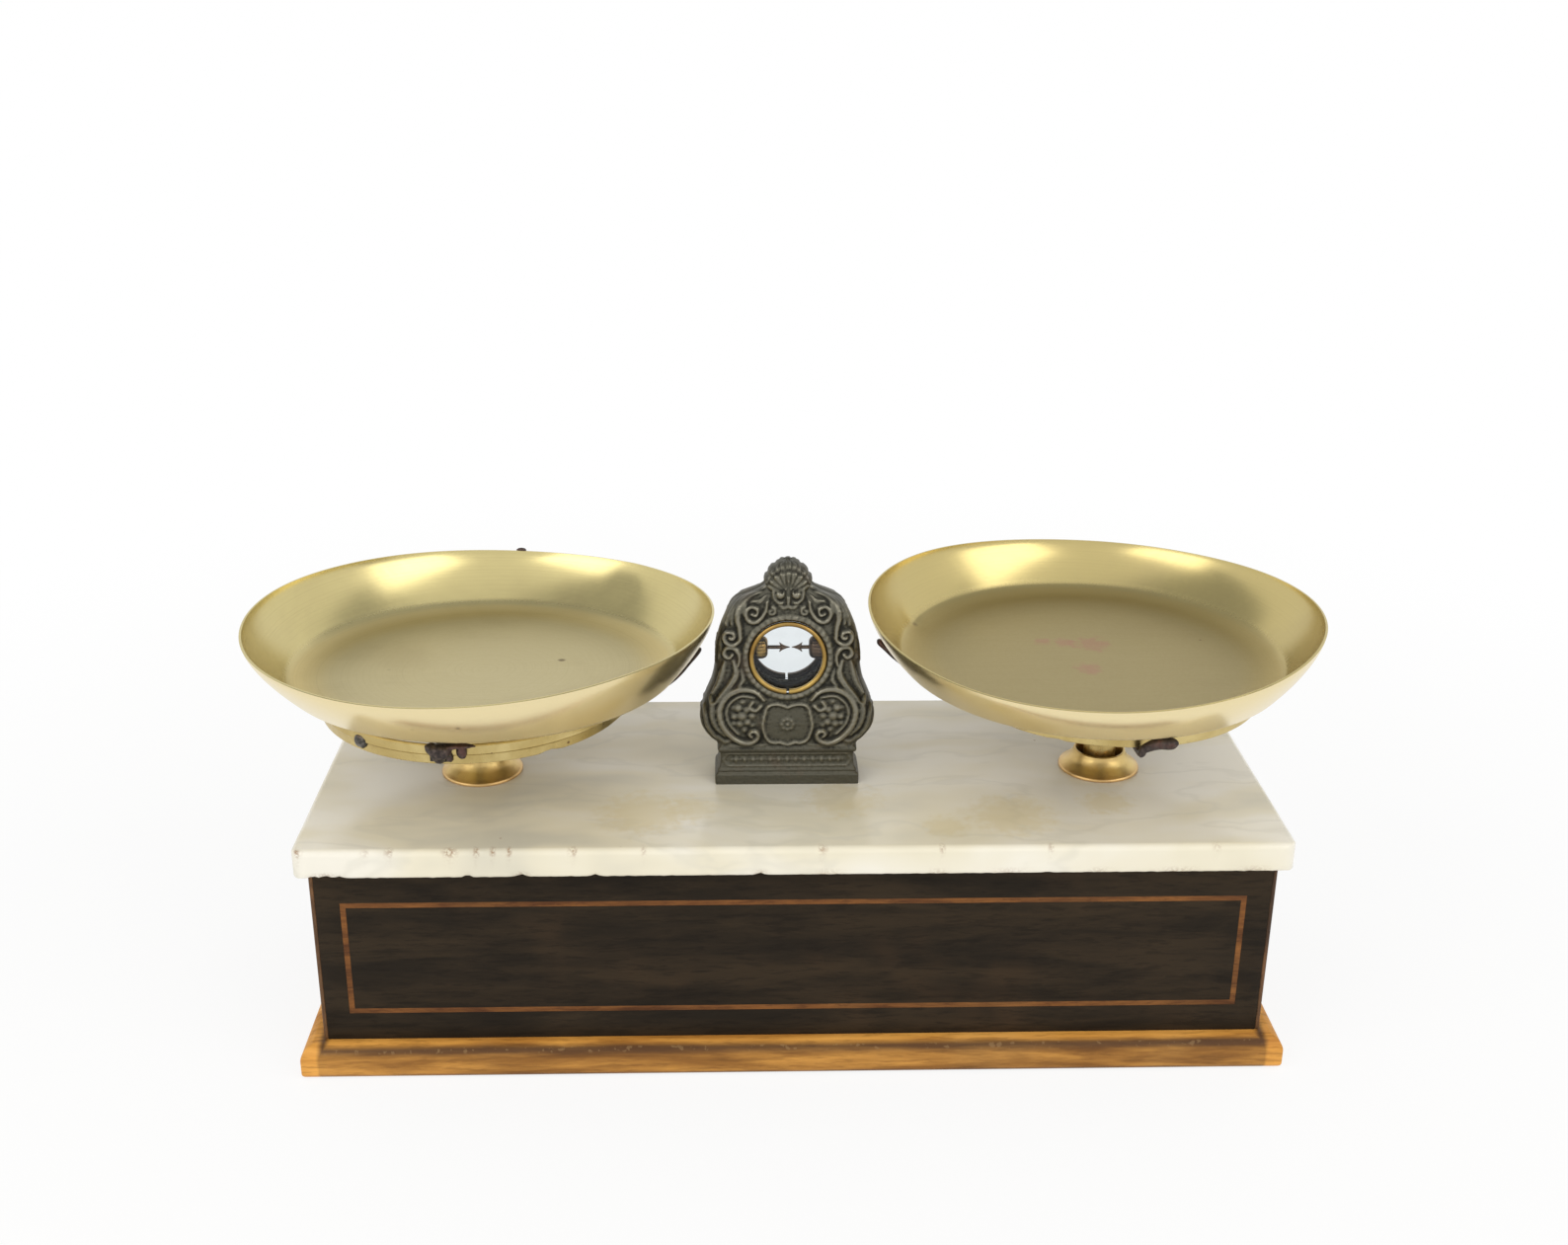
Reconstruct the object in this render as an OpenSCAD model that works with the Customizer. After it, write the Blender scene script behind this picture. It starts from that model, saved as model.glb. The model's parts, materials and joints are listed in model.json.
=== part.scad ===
// Two-pan counter scale with a wooden case, a marble top and a beam and stay inside the case.
// X runs along the case, Y from front to back, Z up; the origin is the middle of the base's underside.

/* [Marble slab] */
// Length of the marble slab
slab_l = 400; // [380:1:440]
// Width of the marble slab, front to back
slab_w = 144.4; // [138:0.2:160]
// Thickness of the marble slab
slab_t = 12.2; // [10:0.2:16]
// Rounding of the slab's long edges
slab_edge_r = 2.6; // [1:0.2:4]
// Rounding of the slab's upright corners
slab_corner_r = 6; // [4.5:0.5:10]

/* [Case] */
// How far the slab stands out past each end of the case
slab_over_x = 4.7; // [1:0.1:8]
// How far the slab stands out past the front and the back of the case
slab_over_y = 7.9; // [4:0.1:10]
// Height of the case between the base board and the slab
case_h = 80; // [78:1:100]
// Thickness of the case's panels
panel_t = 9; // [7:0.5:12]
// How far the base board stands out past each end of the case
base_step_x = 8.9; // [4:0.1:14]
// How far the base board stands out past the front and the back of the case
base_step_y = 7.2; // [4:0.1:14]
// Thickness of the base board
base_h = 14.8; // [12:0.2:20]
// Rounding of the base board's upper edge
base_round = 6; // [3:0.5:7]
// Rounding of the base board's lower edge
base_under_round = 3; // [1:0.5:4]
// Side of the square corner blocks inside the case
block_w = 14; // [10:1:18]

/* [Stringing] */
// Width of the light line let into the front
line_w = 2.3; // [1.5:0.1:4]
// Depth of the light line let into the front
line_t = 1; // [0.6:0.1:2]
// Distance of the line from each end of the case
line_in_x = 11.5; // [8:0.5:20]
// Height of the line's lower edge above the base board
line_low = 12.5; // [8:0.5:20]
// Distance of the line's upper edge below the slab
line_top = 15.5; // [8:0.5:20]
// Side of the square strip at each front corner
corner_w = 1.8; // [1:0.1:3]

/* [Balance] */
// Distance from the beam's middle to each pan's stem
arm = 133; // [124:1:138]
// Height of the beam's knife edges above the base board
pivot_h = 48; // [46:1:52]
// Height of the knife edges above the stay's pins
stay_drop = 28; // [27:0.5:29]
// How far the beam tilts each way, in degrees
tilt = 3.5; // [2:0.1:3.6]
// Height of the beam
beam_h = 12; // [10:0.5:12.5]
// Thickness of the beam, front to back
beam_t = 8; // [6:0.5:9]
// Height of a knife, from its back to its edge
knife_h = 9; // [7:0.5:9.5]
// Length of a knife, front to back
knife_l = 30; // [28:1:36]
// Height of the stay bar
stay_h = 8; // [6:0.5:8]
// Thickness of the stay bar, front to back
stay_t = 6; // [4:0.5:7]
// Diameter of the stay's pins
pin_d = 5; // [4:0.5:6]
// Diameter of a trim nut
nut_d = 12; // [9:0.5:15]
// Thickness of a trim nut
nut_t = 5; // [3:0.5:6]
// Diameter of the threaded rod at each end of the beam
trim_d = 4; // [3:0.5:5]
// Length of the threaded rod that stands out of the beam
trim_l = 22; // [20:1:26]
// How far both nuts are turned towards the left, which evens out the arms' weights
trim_shift = 5.7; // [0:0.1:6]

/* [Stand and yokes] */
// Gap between the two cheeks of the stand and of each yoke
cheek_gap = 18; // [17:0.5:20]
// Thickness of a cheek
cheek_t = 4; // [3.5:0.5:5]
// Length of the stand's foot
foot_l = 68; // [60:1:90]
// Width of the stand's foot
foot_w = 44; // [40:1:50]
// Thickness of the stand's foot
foot_t = 6; // [4:0.5:7]

/* [Stems and collars] */
// Diameter of a stem
stem_d = 13.6; // [12:0.2:15]
// Height of a stem's shoulder above the slab
stem_top = 35.8; // [33:0.2:40]
// Radius of a collar at its foot
collar_r = 17.3; // [15.5:0.1:20]
// Height of a collar
collar_h = 8.6; // [6:0.2:12]
// Radius of a collar's mouth
collar_mouth_r = 10.9; // [10.5:0.1:12.5]
// Radius of the collar's bore
collar_bore_r = 9.6; // [9.2:0.1:10]
// Radius of the collar's neck inside the slab
collar_neck_r = 11; // [10.8:0.1:12]

/* [Crosses and rings] */
// Width of a cross's arm
cross_w = 9; // [7:0.5:11]
// Thickness of a cross's arm
cross_t = 3.5; // [3:0.5:4]
// Radius of a ring at its lower edge
ring_low_r = 64.5; // [62:0.1:66]
// Radius of a ring at its upper edge
ring_top_r = 65.5; // [62:0.1:67]
// Thickness of a ring
ring_t = 1.2; // [0.8:0.1:2]
// Height of a ring
ring_h = 8.5; // [7:0.1:10]
// How far the left ring is let down over its cross's arms
left_ring_drop = 5.3; // [4:0.1:5.5]
// Turn of the left cross about its stem, in degrees
left_turn = -5; // [-20:1:20]
// Turn of the right cross about its stem, in degrees
right_turn = 1; // [-20:1:20]
// How far a claw's tip stands out past the pan's rim
claw_out = 1; // [0.5:0.5:4]
// Height of a claw's tip above the cross
claw_h = 21; // [19:0.5:22]
// Height of a back claw's tip above the cross
back_claw_h = 32; // [30:0.5:34]
// Thickness of a claw where it leaves the ring
claw_d = 5.6; // [4:0.2:6]
// Thickness of a claw's tip
claw_tip_d = 4.6; // [3:0.2:5]
// How far a broken claw's stump stands out past the ring
stump_out = 9; // [7:0.5:9]
// Thickness of a stump's end
stump_d = 6.4; // [5:0.2:6.6]
// Sideways bend of the right cross's front claw, in degrees
bent_claw_turn = 45; // [0:5:50]

/* [Pans] */
// Radius of a pan's rim
pan_r = 96; // [92:0.5:98]
// Radius of a pan's flat floor
pan_floor_r = 74; // [73.5:0.1:75]
// Height of a pan
pan_h = 23.5; // [22:0.5:26]
// Thickness of a pan's sheet
pan_t = 1.2; // [0.8:0.1:1.6]
// How far the wall bows out, 1 is a straight cone
pan_bow = 1.35; // [1.1:0.05:1.6]
// How far the left pan lies from the middle of its ring, along the case
left_pan_shift = 2; // [-2:0.5:2]
// How far the right pan lies from the middle of its ring, along the case
right_pan_shift = -6.5; // [-6.5:0.5:2]

/* [Housing] */
// Place of the housing's middle along the slab
house_x = -2.6; // [-4:0.2:4]
// Place of the housing's seam, front to back
house_y = -5.6; // [-7:0.2:0]
// Depth of each half of the housing, without its relief
house_d = 9; // [8.6:0.2:12]
// Height of the housing
house_h = 97.6; // [96:0.2:106]
// Height of the plinth
plinth_h = 14; // [12:0.5:16]
// Width of the plinth at its foot
plinth_w = 61; // [58:0.5:68]
// Width of the housing at its belly
belly_w = 72; // [68:0.5:76]
// Height of the belly above the slab
belly_h = 27; // [24:0.5:30]
// Width of the housing at its waist
waist_w = 60; // [57:0.5:64]
// Height of the waist above the slab
waist_h = 50; // [47:0.5:53]
// Width of the housing at its shoulders
shoulder_w = 52; // [50:0.5:56]
// Height of the shoulders above the slab
shoulder_h = 73; // [71:0.5:74]
// Width of the neck below the crest
neck_w = 20; // [17:0.5:26]
// Height of the neck above the slab
neck_h = 86.5; // [85:0.5:87.5]
// Width of the crest
crest_w = 18; // [14:0.5:22]
// Wall of the housing
house_wall = 2.6; // [2:0.1:3]
// Height of the windows' middle above the slab
window_h = 57.4; // [56:0.2:59]
// Outer radius of the split rings that hold the glasses
bezel_r = 16; // [15:0.1:17]
// Width of the split rings
bezel_w = 1.8; // [1.4:0.1:2.4]
// Thickness of the glasses
glass_t = 1.6; // [1:0.1:1.8]

/* [Arrows] */
// Place where the arrows meet, along the slab
meet_x = -1.2; // [-2:0.1:1]
// Height of the arrows above the slab
arrow_h = 58.8; // [57:0.2:60]
// Distance of each post from where the arrows meet
post_x = 20; // [19:0.1:20.4]
// Diameter of a post
post_d = 3; // [2:0.2:3.4]
// Diameter of a knob
knob_d = 9.6; // [7:0.2:10]
// Thickness of a knob
knob_l = 6.5; // [4:0.1:7]
// Distance of each knob's face from where the arrows meet
knob_face = 9.6; // [9:0.1:11]
// Diameter of an arrow's shank
shank_d = 1.6; // [1:0.1:2]
// Width of an arrow's head
head_w = 4.6; // [3:0.1:6]
// Gap between the tips of the arrows
tip_gap = 0.7; // [0.4:0.1:2]

/* [Fasteners] */
// Diameter of the screws
screw_d = 4.2; // [3.5:0.1:4.6]
// Diameter of the screws' heads
screw_head_d = 8.4; // [7:0.1:9]
// Length of the screws into the case's panels
case_screw_l = 38; // [30:1:44]

/* [Clearances] */
// Gap round a piece that is seated in another
fit_gap = 0.05; // [0.02:0.01:0.1]
// Radial gap of the stay's middle hole on its pin
pin_gap = 0.08; // [0.05:0.01:0.1]
// Radial gap of the stay's end holes, the pivots where the linkage is left open
open_gap = 0.25; // [0.2:0.05:0.5]
// Gap between a knife edge and the groove it rocks in
edge_gap = 0.2; // [0.1:0.05:0.3]
// Gap left at a stop, and between a pan and its ring
rest_gap = 0.3; // [0.2:0.05:0.5]

/* [Hidden] */
$fn = 64;

// Outer sizes of the case and the base board, from the slab
case_l = slab_l - 2 * slab_over_x;
case_w = slab_w - 2 * slab_over_y;
base_l = case_l + 2 * base_step_x;
base_w = case_w + 2 * base_step_y;
slab_z = base_h + case_h;
top_z = slab_z + slab_t;

// Heights of the balance
pivot_z = base_h + pivot_h;
stay_z = pivot_z - stay_drop;
travel = arm * sin(tilt);
beam_top = pivot_z - 2;
beam_low = beam_top - beam_h;
bearing_h = 8;
bearing_w = 16;
groove_h = 3.2;
bearing_edge = bearing_h + groove_h;
bridge_z = pivot_z + bearing_h + 3.2;
bridge_t = 5;
arm_z = bridge_z + bridge_t;
arm_t = 2.5;
yoke_half = 14;
leg_half = 7;
leg_end = 6.5;
cheek_in = cheek_gap / 2;
cheek_out = cheek_in + cheek_t;
boss_r = pin_d / 2 + 3.5;
boss_half = cheek_in - 0.5;
pad_t = stay_z - leg_end - travel - rest_gap - base_h;
spigot_d = 8;
cross_z = top_z + stem_top;
right_ring_z = cross_z + cross_t + fit_gap;
left_ring_z = right_ring_z - left_ring_drop;
right_pan_z = right_ring_z + ring_h + rest_gap;
left_pan_z = left_ring_z + ring_h + rest_gap;
hub_nut_h = 0.8 * (left_pan_z - cross_z - cross_t);
arrow_z = top_z + arrow_h;

// Steps along the curves of a pan's wall and of a claw
pan_steps = 12;
claw_steps = 3;
claw_sides = 10;

// Claws: where they leave the arm, clear the ring, bend under the pan's corner and follow its wall
claw_root_r = ring_low_r - 4.5;
claw_pass_r = ring_top_r + 1.5;
claw_bend_r = pan_floor_r + 6;
claw_mid_r = pan_r - 6.5;
claw_tip_r = pan_r + claw_out;
claw_bends = [[claw_bend_r, 0.26 * claw_h], [claw_mid_r, 0.6 * claw_h], [claw_tip_r, claw_h]];
back_bends = concat(claw_bends, [[claw_tip_r + 2, back_claw_h]]);
stump_bends = [[ring_top_r + 0.6 * stump_out, 0.6 * cross_t], [ring_top_r + stump_out, 0.8 * cross_t]];
short_bends = [[ring_top_r + 3, 0.5 * cross_t], [ring_top_r + 4.5, 0.6 * cross_t]];
bent_bends = [[claw_bend_r - 6.5, 0.3 * claw_h], [claw_bend_r + 2.5, 0.64 * claw_h]];

// The beam's ends and the threaded rods in them
beam_end = arm + 10;
trim_seat = 3;
trim_z = beam_low + beam_h / 3;

// Sideways places of the screws
screw_pitch = 0.385 * case_l;
foot_screw_x = foot_l / 2 - 8;
foot_screw_y = foot_w / 2 - 4.5;
foot_screw_l = foot_t + base_h - 4;
lug_x = 9;
lug_w = 8;
lug_y = house_d / 2 + 0.2;
lug_bore_h = plinth_h - 4;
post_room = 5.2;

// Housing outline
foot_half = plinth_w / 2;
mid_rows = 6;
cavity_top = window_h + 1.25 * bezel_r;
flank = 3.4;
waist_in = 0.5;
plinth_wall = 6;
moulding_t = 1.5;
seat_t = 0.8;
glass_seat = house_d - glass_t - 1;

// Points of a Catmull-Rom curve through the points p, in equal steps between each two
function at(p, i) = p[min(max(i, 0), len(p) - 1)];
function curve_point(p, i, t) =
    0.5 * (2 * at(p, i) + (at(p, i + 1) - at(p, i - 1)) * t
        + (2 * at(p, i - 1) - 5 * at(p, i) + 4 * at(p, i + 1) - at(p, i + 2)) * t * t
        + (3 * at(p, i) - at(p, i - 1) - 3 * at(p, i + 1) + at(p, i + 2)) * t * t * t);
function curve(p, steps) = concat(
    [for (i = [0 : len(p) - 2]) for (k = [0 : steps - 1]) curve_point(p, i, k / steps)],
    [p[len(p) - 1]]);

// Height and half width of the housing above its plinth, from the waist of the plinth to the crest
outline = curve([
    [plinth_h, foot_half - 1.4],
    [belly_h, belly_w / 2],
    [(belly_h + waist_h) / 2 + 1, (belly_w + waist_w) / 4 - 0.6],
    [waist_h, waist_w / 2],
    [waist_h + 10, waist_w / 2 - 0.6],
    [shoulder_h, shoulder_w / 2],
    [shoulder_h + 7, shoulder_w / 2 - 4],
    [neck_h - 2.6, neck_w / 2 + 5],
    [neck_h, neck_w / 2],
    [neck_h + 3.5, crest_w / 2],
    [house_h - 3.6, 0.36 * crest_w],
    [house_h - 1, 0.17 * crest_w],
    [house_h, 0.6]], mid_rows);

// Closed skin between copies of the outline; each level is a depth and an inset
module outline_loft(rows, levels) {
    n = len(rows);
    ring_n = 2 * n;
    low = rows[0][0];
    function edge(row, level, side) = [side * max(row[1] - level[1], 0.3), level[0],
        low + (row[0] - low) * (1 - level[1] / house_h)];
    skin = [for (level = levels) each concat([for (row = rows) edge(row, level, -1)],
        [for (i = [n - 1 : -1 : 0]) edge(rows[i], level, 1)])];
    last = (len(levels) - 1) * ring_n;
    sides = [for (j = [0 : len(levels) - 2]) for (k = [0 : ring_n - 1])
        let (a = j * ring_n + k, b = j * ring_n + (k + 1) % ring_n)
        each [[a, a + ring_n, b + ring_n], [a, b + ring_n, b]]];
    front = [for (i = [0 : n - 2]) [i, i + 1, ring_n - 2 - i, ring_n - 1 - i]];
    back = [for (f = front) [f[3] + last, f[2] + last, f[1] + last, f[0] + last]];
    polyhedron(points = skin, faces = concat(sides, front, back));
}

// Round bar along a path in the XZ plane, with a radius at each point
module taper_bar(path, radii, sides) {
    n = len(path);
    function way(i) = let (d = at(path, i + 1) - at(path, i - 1)) d / norm(d);
    skin = [for (i = [0 : n - 1]) for (k = [0 : sides - 1])
        let (w = way(i), a = 360 * k / sides, u = radii[i] * cos(a), v = radii[i] * sin(a))
        [path[i][0] - w[1] * u, v, path[i][1] + w[0] * u]];
    sheath = [for (i = [0 : n - 2]) for (k = [0 : sides - 1])
        let (a = i * sides + k, b = i * sides + (k + 1) % sides)
        each [[a, b, b + sides], [a, b + sides, a + sides]]];
    start = [[for (k = [sides - 1 : -1 : 0]) k]];
    end = [[for (k = [0 : sides - 1]) (n - 1) * sides + k]];
    polyhedron(points = skin, faces = concat(sheath, start, end));
}

// Plate outline of length l and width w with round corners
module round_rect(l, w, r) {
    square([l - 2 * r, w], center = true);
    square([l, w - 2 * r], center = true);
    for (sx = [-1, 1], sy = [-1, 1]) translate([sx * (l / 2 - r), sy * (w / 2 - r)]) circle(r);
}

// Section of a board of width w and thickness t, rounded at its upper and lower edges
module board_section(w, t, upper, lower) {
    translate([-w / 2, lower]) square([w, t - upper - lower]);
    translate([-w / 2 + upper, t - upper]) square([w - 2 * upper, upper]);
    translate([-w / 2 + lower, 0]) square([w - 2 * lower, lower]);
    for (s = [-1, 1]) {
        translate([s * (w / 2 - upper), t - upper]) circle(upper);
        translate([s * (w / 2 - lower), lower]) circle(lower);
    }
}

// Board whose edges are rounded on all four sides and mitred at the corners
module edged_board(l, w, t, upper, lower) {
    intersection() {
        rotate([90, 0, 90]) linear_extrude(l, center = true) board_section(w, t, upper, lower);
        rotate([90, 0, 0]) linear_extrude(w, center = true) board_section(l, t, upper, lower);
    }
}

// Round rod along Y, centred on the XZ plane
module cross_rod(d, l) {
    rotate([90, 0, 0]) cylinder(d = d, h = l, center = true);
}

// Countersunk screw with its head's face at the origin and its point upwards
module wood_screw(l) {
    head_h = (screw_head_d - screw_d) / 2;
    difference() {
        union() {
            cylinder(d1 = screw_head_d, d2 = screw_d, h = head_h);
            cylinder(d = screw_d, h = l - 3);
            translate([0, 0, l - 3]) cylinder(d1 = screw_d, d2 = 0.8, h = 3);
        }
        translate([-screw_head_d, -0.5, -1]) cube([2 * screw_head_d, 1, 2]);
    }
}

// Hole for a countersunk screw, a little wider than the screw
module screw_hole(l) {
    head_h = (screw_head_d - screw_d) / 2;
    translate([0, 0, -1]) cylinder(d = screw_d + 2 * fit_gap, h = l + 1);
    translate([0, 0, -fit_gap])
        cylinder(d1 = screw_head_d + 2 * fit_gap, d2 = screw_d + 2 * fit_gap, h = head_h);
    translate([0, 0, -1]) cylinder(d = screw_head_d + 2 * fit_gap, h = 1);
}

module at_case_screws() {
    for (sx = [-1, 0, 1], sy = [-1, 1])
        translate([sx * screw_pitch, sy * (case_w / 2 - panel_t / 2), 0.5]) children();
}

module at_foot_screws() {
    for (sx = [-1, 1], sy = [-1, 1])
        translate([sx * foot_screw_x, sy * foot_screw_y, base_h + foot_t]) rotate([180, 0, 0]) children();
}

// The four screws that hold the housing, two in each half
module at_lugs() {
    for (sx = [-1, 1], sy = [-1, 1])
        translate([house_x + sx * lug_x, house_y + sy * lug_y, slab_z]) children();
}

module base_board() {
    color("peru") difference() {
        edged_board(base_l, base_w, base_h, base_round, base_under_round);
        at_case_screws() screw_hole(case_screw_l);
        at_foot_screws() screw_hole(foot_screw_l);
    }
}

module long_panel() {
    translate([-case_l / 2, -panel_t / 2, base_h]) cube([case_l, panel_t, case_h]);
}

// Frame of the stringing, deep by d
module line_frame(d) {
    outer_l = case_l - 2 * line_in_x;
    outer_h = case_h - line_low - line_top;
    difference() {
        translate([-outer_l / 2, 0, base_h + line_low]) cube([outer_l, d, outer_h]);
        translate([-outer_l / 2 + line_w, -1, base_h + line_low + line_w])
            cube([outer_l - 2 * line_w, d + 2, outer_h - 2 * line_w]);
    }
}

module corner_strip_pair(h) {
    for (s = [-1, 1])
        translate([s * (case_l / 2 - corner_w / 2), -case_w / 2 + corner_w / 2, base_h + h / 2])
            cube([corner_w, corner_w, h], center = true);
}

module front_panel() {
    color("#3a3028") difference() {
        translate([0, -case_w / 2 + panel_t / 2, 0]) long_panel();
        translate([0, -case_w / 2, 0]) line_frame(line_t);
        corner_strip_pair(case_h);
        at_case_screws() cylinder(d = screw_d + 2 * fit_gap, h = case_screw_l);
    }
}

module back_panel() {
    color("#3a3028") difference() {
        translate([0, case_w / 2 - panel_t / 2, 0]) long_panel();
        at_case_screws() cylinder(d = screw_d + 2 * fit_gap, h = case_screw_l);
    }
}

module end_panel(side) {
    color("#3a3028") translate([side * (case_l / 2 - panel_t / 2), 0, base_h + case_h / 2])
        cube([panel_t, case_w - 2 * panel_t, case_h], center = true);
}
module left_panel() { end_panel(-1); }
module right_panel() { end_panel(1); }

module front_stringing() {
    color("#b0703c") translate([0, -case_w / 2, 0]) line_frame(line_t);
}

module corner_strips() {
    color("#c09060") corner_strip_pair(case_h);
}

module corner_blocks() {
    color("burlywood") for (sx = [-1, 1], sy = [-1, 1])
        translate([sx * (case_l / 2 - panel_t - block_w / 2), sy * (case_w / 2 - panel_t - block_w / 2),
            base_h + case_h / 2])
            cube([block_w, block_w, case_h], center = true);
}

module case_screws() {
    color("dimgray") at_case_screws() wood_screw(case_screw_l);
}

module marble_slab() {
    color("ivory") difference() {
        translate([0, 0, slab_z]) intersection() {
            edged_board(slab_l, slab_w, slab_t, slab_edge_r, 1);
            linear_extrude(slab_t) round_rect(slab_l, slab_w, slab_corner_r);
        }
        for (s = [-1, 1]) {
            translate([s * arm, 0, slab_z - 1]) cylinder(r = collar_neck_r + fit_gap, h = slab_t + 2);
            translate([meet_x + s * post_x, house_y, slab_z - 1])
                cylinder(r = post_d / 2 + post_room, h = slab_t + 2);
        }
        at_lugs() translate([0, 0, -1]) cylinder(d = screw_d + 2 * fit_gap, h = slab_t + 2);
    }
}

// Bell collar: a foot bead, a hollow sweep up to the mouth, and a neck that sits in the slab
module collar(side) {
    bead = 1.6;
    sweep = [for (k = [0 : 6]) let (a = 90 * k / 6)
        [collar_mouth_r + (collar_r - 0.5 - collar_mouth_r) * (1 - sin(a)) * (1 - 0.15 * sin(2 * a)),
            bead + (collar_h - bead) * (1 - cos(a))]];
    color("goldenrod") translate([side * arm, 0, top_z]) rotate_extrude() polygon(concat(
        [[collar_bore_r, -slab_t + 2], [collar_neck_r, -slab_t + 2], [collar_neck_r, 0], [collar_r, 0],
            [collar_r, bead * 0.7]],
        sweep,
        [[collar_mouth_r - 0.5, collar_h], [collar_bore_r, collar_h - 3]]));
}
module left_collar() { collar(-1); }
module right_collar() { collar(1); }

// Section of the plinth at height z: how far it stands out from its narrowest part
function plinth_points(half) = concat(
    [[half, 0], [half, 4.6], [half - 0.7, 5.3]],
    [for (k = [0 : 5]) let (a = 90 * k / 5)
        [half - 0.7 - 1.7 * sin(a), 5.3 + (plinth_h - 8.1) * (1 - cos(a)) ]],
    [[half - 1.5, plinth_h - 2.4], [half - 1.2, plinth_h - 1.2], [half - 1.6, plinth_h]]);

// Front half of the plinth, from the seam forwards, with the same mould on its ends
module plinth() {
    depth = house_d + 1.2;
    edge = plinth_points(foot_half);
    intersection() {
        rotate([90, 0, 0]) linear_extrude(depth) polygon(concat(
            edge, [for (i = [len(edge) - 1 : -1 : 0]) [-edge[i][0], edge[i][1]]]));
        rotate([90, 0, 90]) linear_extrude(2 * foot_half + 2, center = true) polygon(concat(
            [for (p = plinth_points(depth)) [-p[0], p[1]]],
            [[0, plinth_h], [0, 0]]));
    }
}

// Raised moulding round a window, about the window's axis
module window_moulding() {
    inner = bezel_r - 1.4;
    outer = bezel_r + 3.4;
    back = 3;
    rotate_extrude() polygon([[inner, back], [outer, back], [outer, house_d + 0.4],
        [outer - 1, house_d + moulding_t], [bezel_r + 0.9, house_d + moulding_t], [inner, house_d + 0.6]]);
}

// One half of the housing in front of its seam, standing at the origin
module housing_half() {
    difference() {
        union() {
            outline_loft(outline, [[-house_d, flank], [-house_d + 1.2, flank / 2], [-house_d / 2, waist_in],
                [0, 0]]);
            plinth();
            translate([0, 0, window_h]) rotate([90, 0, 0]) window_moulding();
        }
        intersection() {
            outline_loft(outline, [[-house_d + house_wall, flank / 2 + house_wall],
                [-house_d / 2, waist_in + house_wall], [1, house_wall]]);
            translate([-foot_half, -house_d, 0]) cube([2 * foot_half, 2 * house_d, cavity_top]);
        }
        difference() {
            translate([-foot_half + plinth_wall, -house_d + 2, -1])
                cube([2 * (foot_half - plinth_wall), house_d, plinth_h + 2]);
            for (s = [-1, 1])
                translate([s * lug_x - lug_w / 2, -house_d, -1]) cube([lug_w, house_d - 1.6, plinth_h]);
        }
        for (s = [-1, 1])
            translate([s * lug_x, -lug_y, -1]) cylinder(d = screw_d + 2 * fit_gap, h = lug_bore_h + 1);
        translate([0, 0, window_h]) rotate([90, 0, 0]) {
            cylinder(r = bezel_r - bezel_w, h = house_d + 5);
            translate([0, 0, glass_seat]) cylinder(r = bezel_r + fit_gap, h = glass_t + 8);
            translate([0, 0, -1]) cylinder(r = bezel_r + 4, h = glass_seat + 1 - seat_t);
        }
    }
}

module place_half(back) {
    translate([house_x, house_y, top_z]) mirror([0, back, 0]) children();
}
module housing_front() { color("dimgray") place_half(0) housing_half(); }
module housing_back() { color("dimgray") place_half(1) housing_half(); }

// Split ring that holds a glass
module bezel() {
    gap = 1;
    color("gold") translate([0, 0, window_h]) rotate([90, 0, 0]) difference() {
        translate([0, 0, house_d - 1]) rotate_extrude() polygon([[bezel_r - bezel_w, 0], [bezel_r, 0],
            [bezel_r, 1.6], [bezel_r - bezel_w / 2, 2.1], [bezel_r - bezel_w, 1.6]]);
        translate([-gap / 2, -bezel_r - 1, house_d - 2]) cube([gap, bezel_w + 2, 5]);
    }
}
module front_bezel() { place_half(0) bezel(); }
module back_bezel() { place_half(1) bezel(); }

module glass() {
    color("lightcyan", 0.4) translate([0, -house_d + 1, window_h]) rotate([-90, 0, 0])
        cylinder(r = bezel_r - fit_gap, h = glass_t);
}
module front_glass() { place_half(0) glass(); }
module back_glass() { place_half(1) glass(); }

// Cheese-headed screws from under the slab into the housing's lugs
module housing_screws() {
    head_t = 2.6;
    color("dimgray") at_lugs() difference() {
        union() {
            translate([0, 0, -head_t]) cylinder(d = screw_head_d - 1, h = head_t);
            cylinder(d = screw_d, h = slab_t + lug_bore_h - 1);
        }
        translate([-screw_head_d, -0.5, -head_t - 1]) cube([2 * screw_head_d, 1, 2]);
    }
}

// Cheek with a notch on top for the bearing block and a bore for the stay's pin
module stand_cheek() {
    top = pivot_z + groove_h;
    head_half = bearing_w / 2 + 4;
    foot_half_l = foot_l / 2 - 6;
    side = [[foot_half_l, base_h + foot_t], [leg_half + boss_r, stay_z], [head_half, pivot_z - bearing_h],
        [head_half, top]];
    difference() {
        rotate([90, 0, 0]) linear_extrude(cheek_t, center = true) polygon(concat(
            side, [for (i = [len(side) - 1 : -1 : 0]) [-side[i][0], side[i][1]]]));
        translate([-bearing_w / 2 - fit_gap, -cheek_t, pivot_z - bearing_h - fit_gap])
            cube([bearing_w + 2 * fit_gap, 2 * cheek_t, bearing_h + 2 * groove_h]);
        translate([0, 0, stay_z]) cross_rod(pin_d + 2 * fit_gap, 2 * cheek_t);
    }
}

module centre_stand() {
    color("#2d3a33") {
        difference() {
            translate([0, 0, base_h]) linear_extrude(foot_t) round_rect(foot_l, foot_w, 5);
            at_foot_screws() screw_hole(foot_screw_l);
        }
        for (s = [-1, 1]) translate([0, s * (cheek_in + cheek_t / 2), 0]) stand_cheek();
    }
}

module stand_screws() {
    color("silver") at_foot_screws() wood_screw(foot_screw_l);
}

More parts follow.
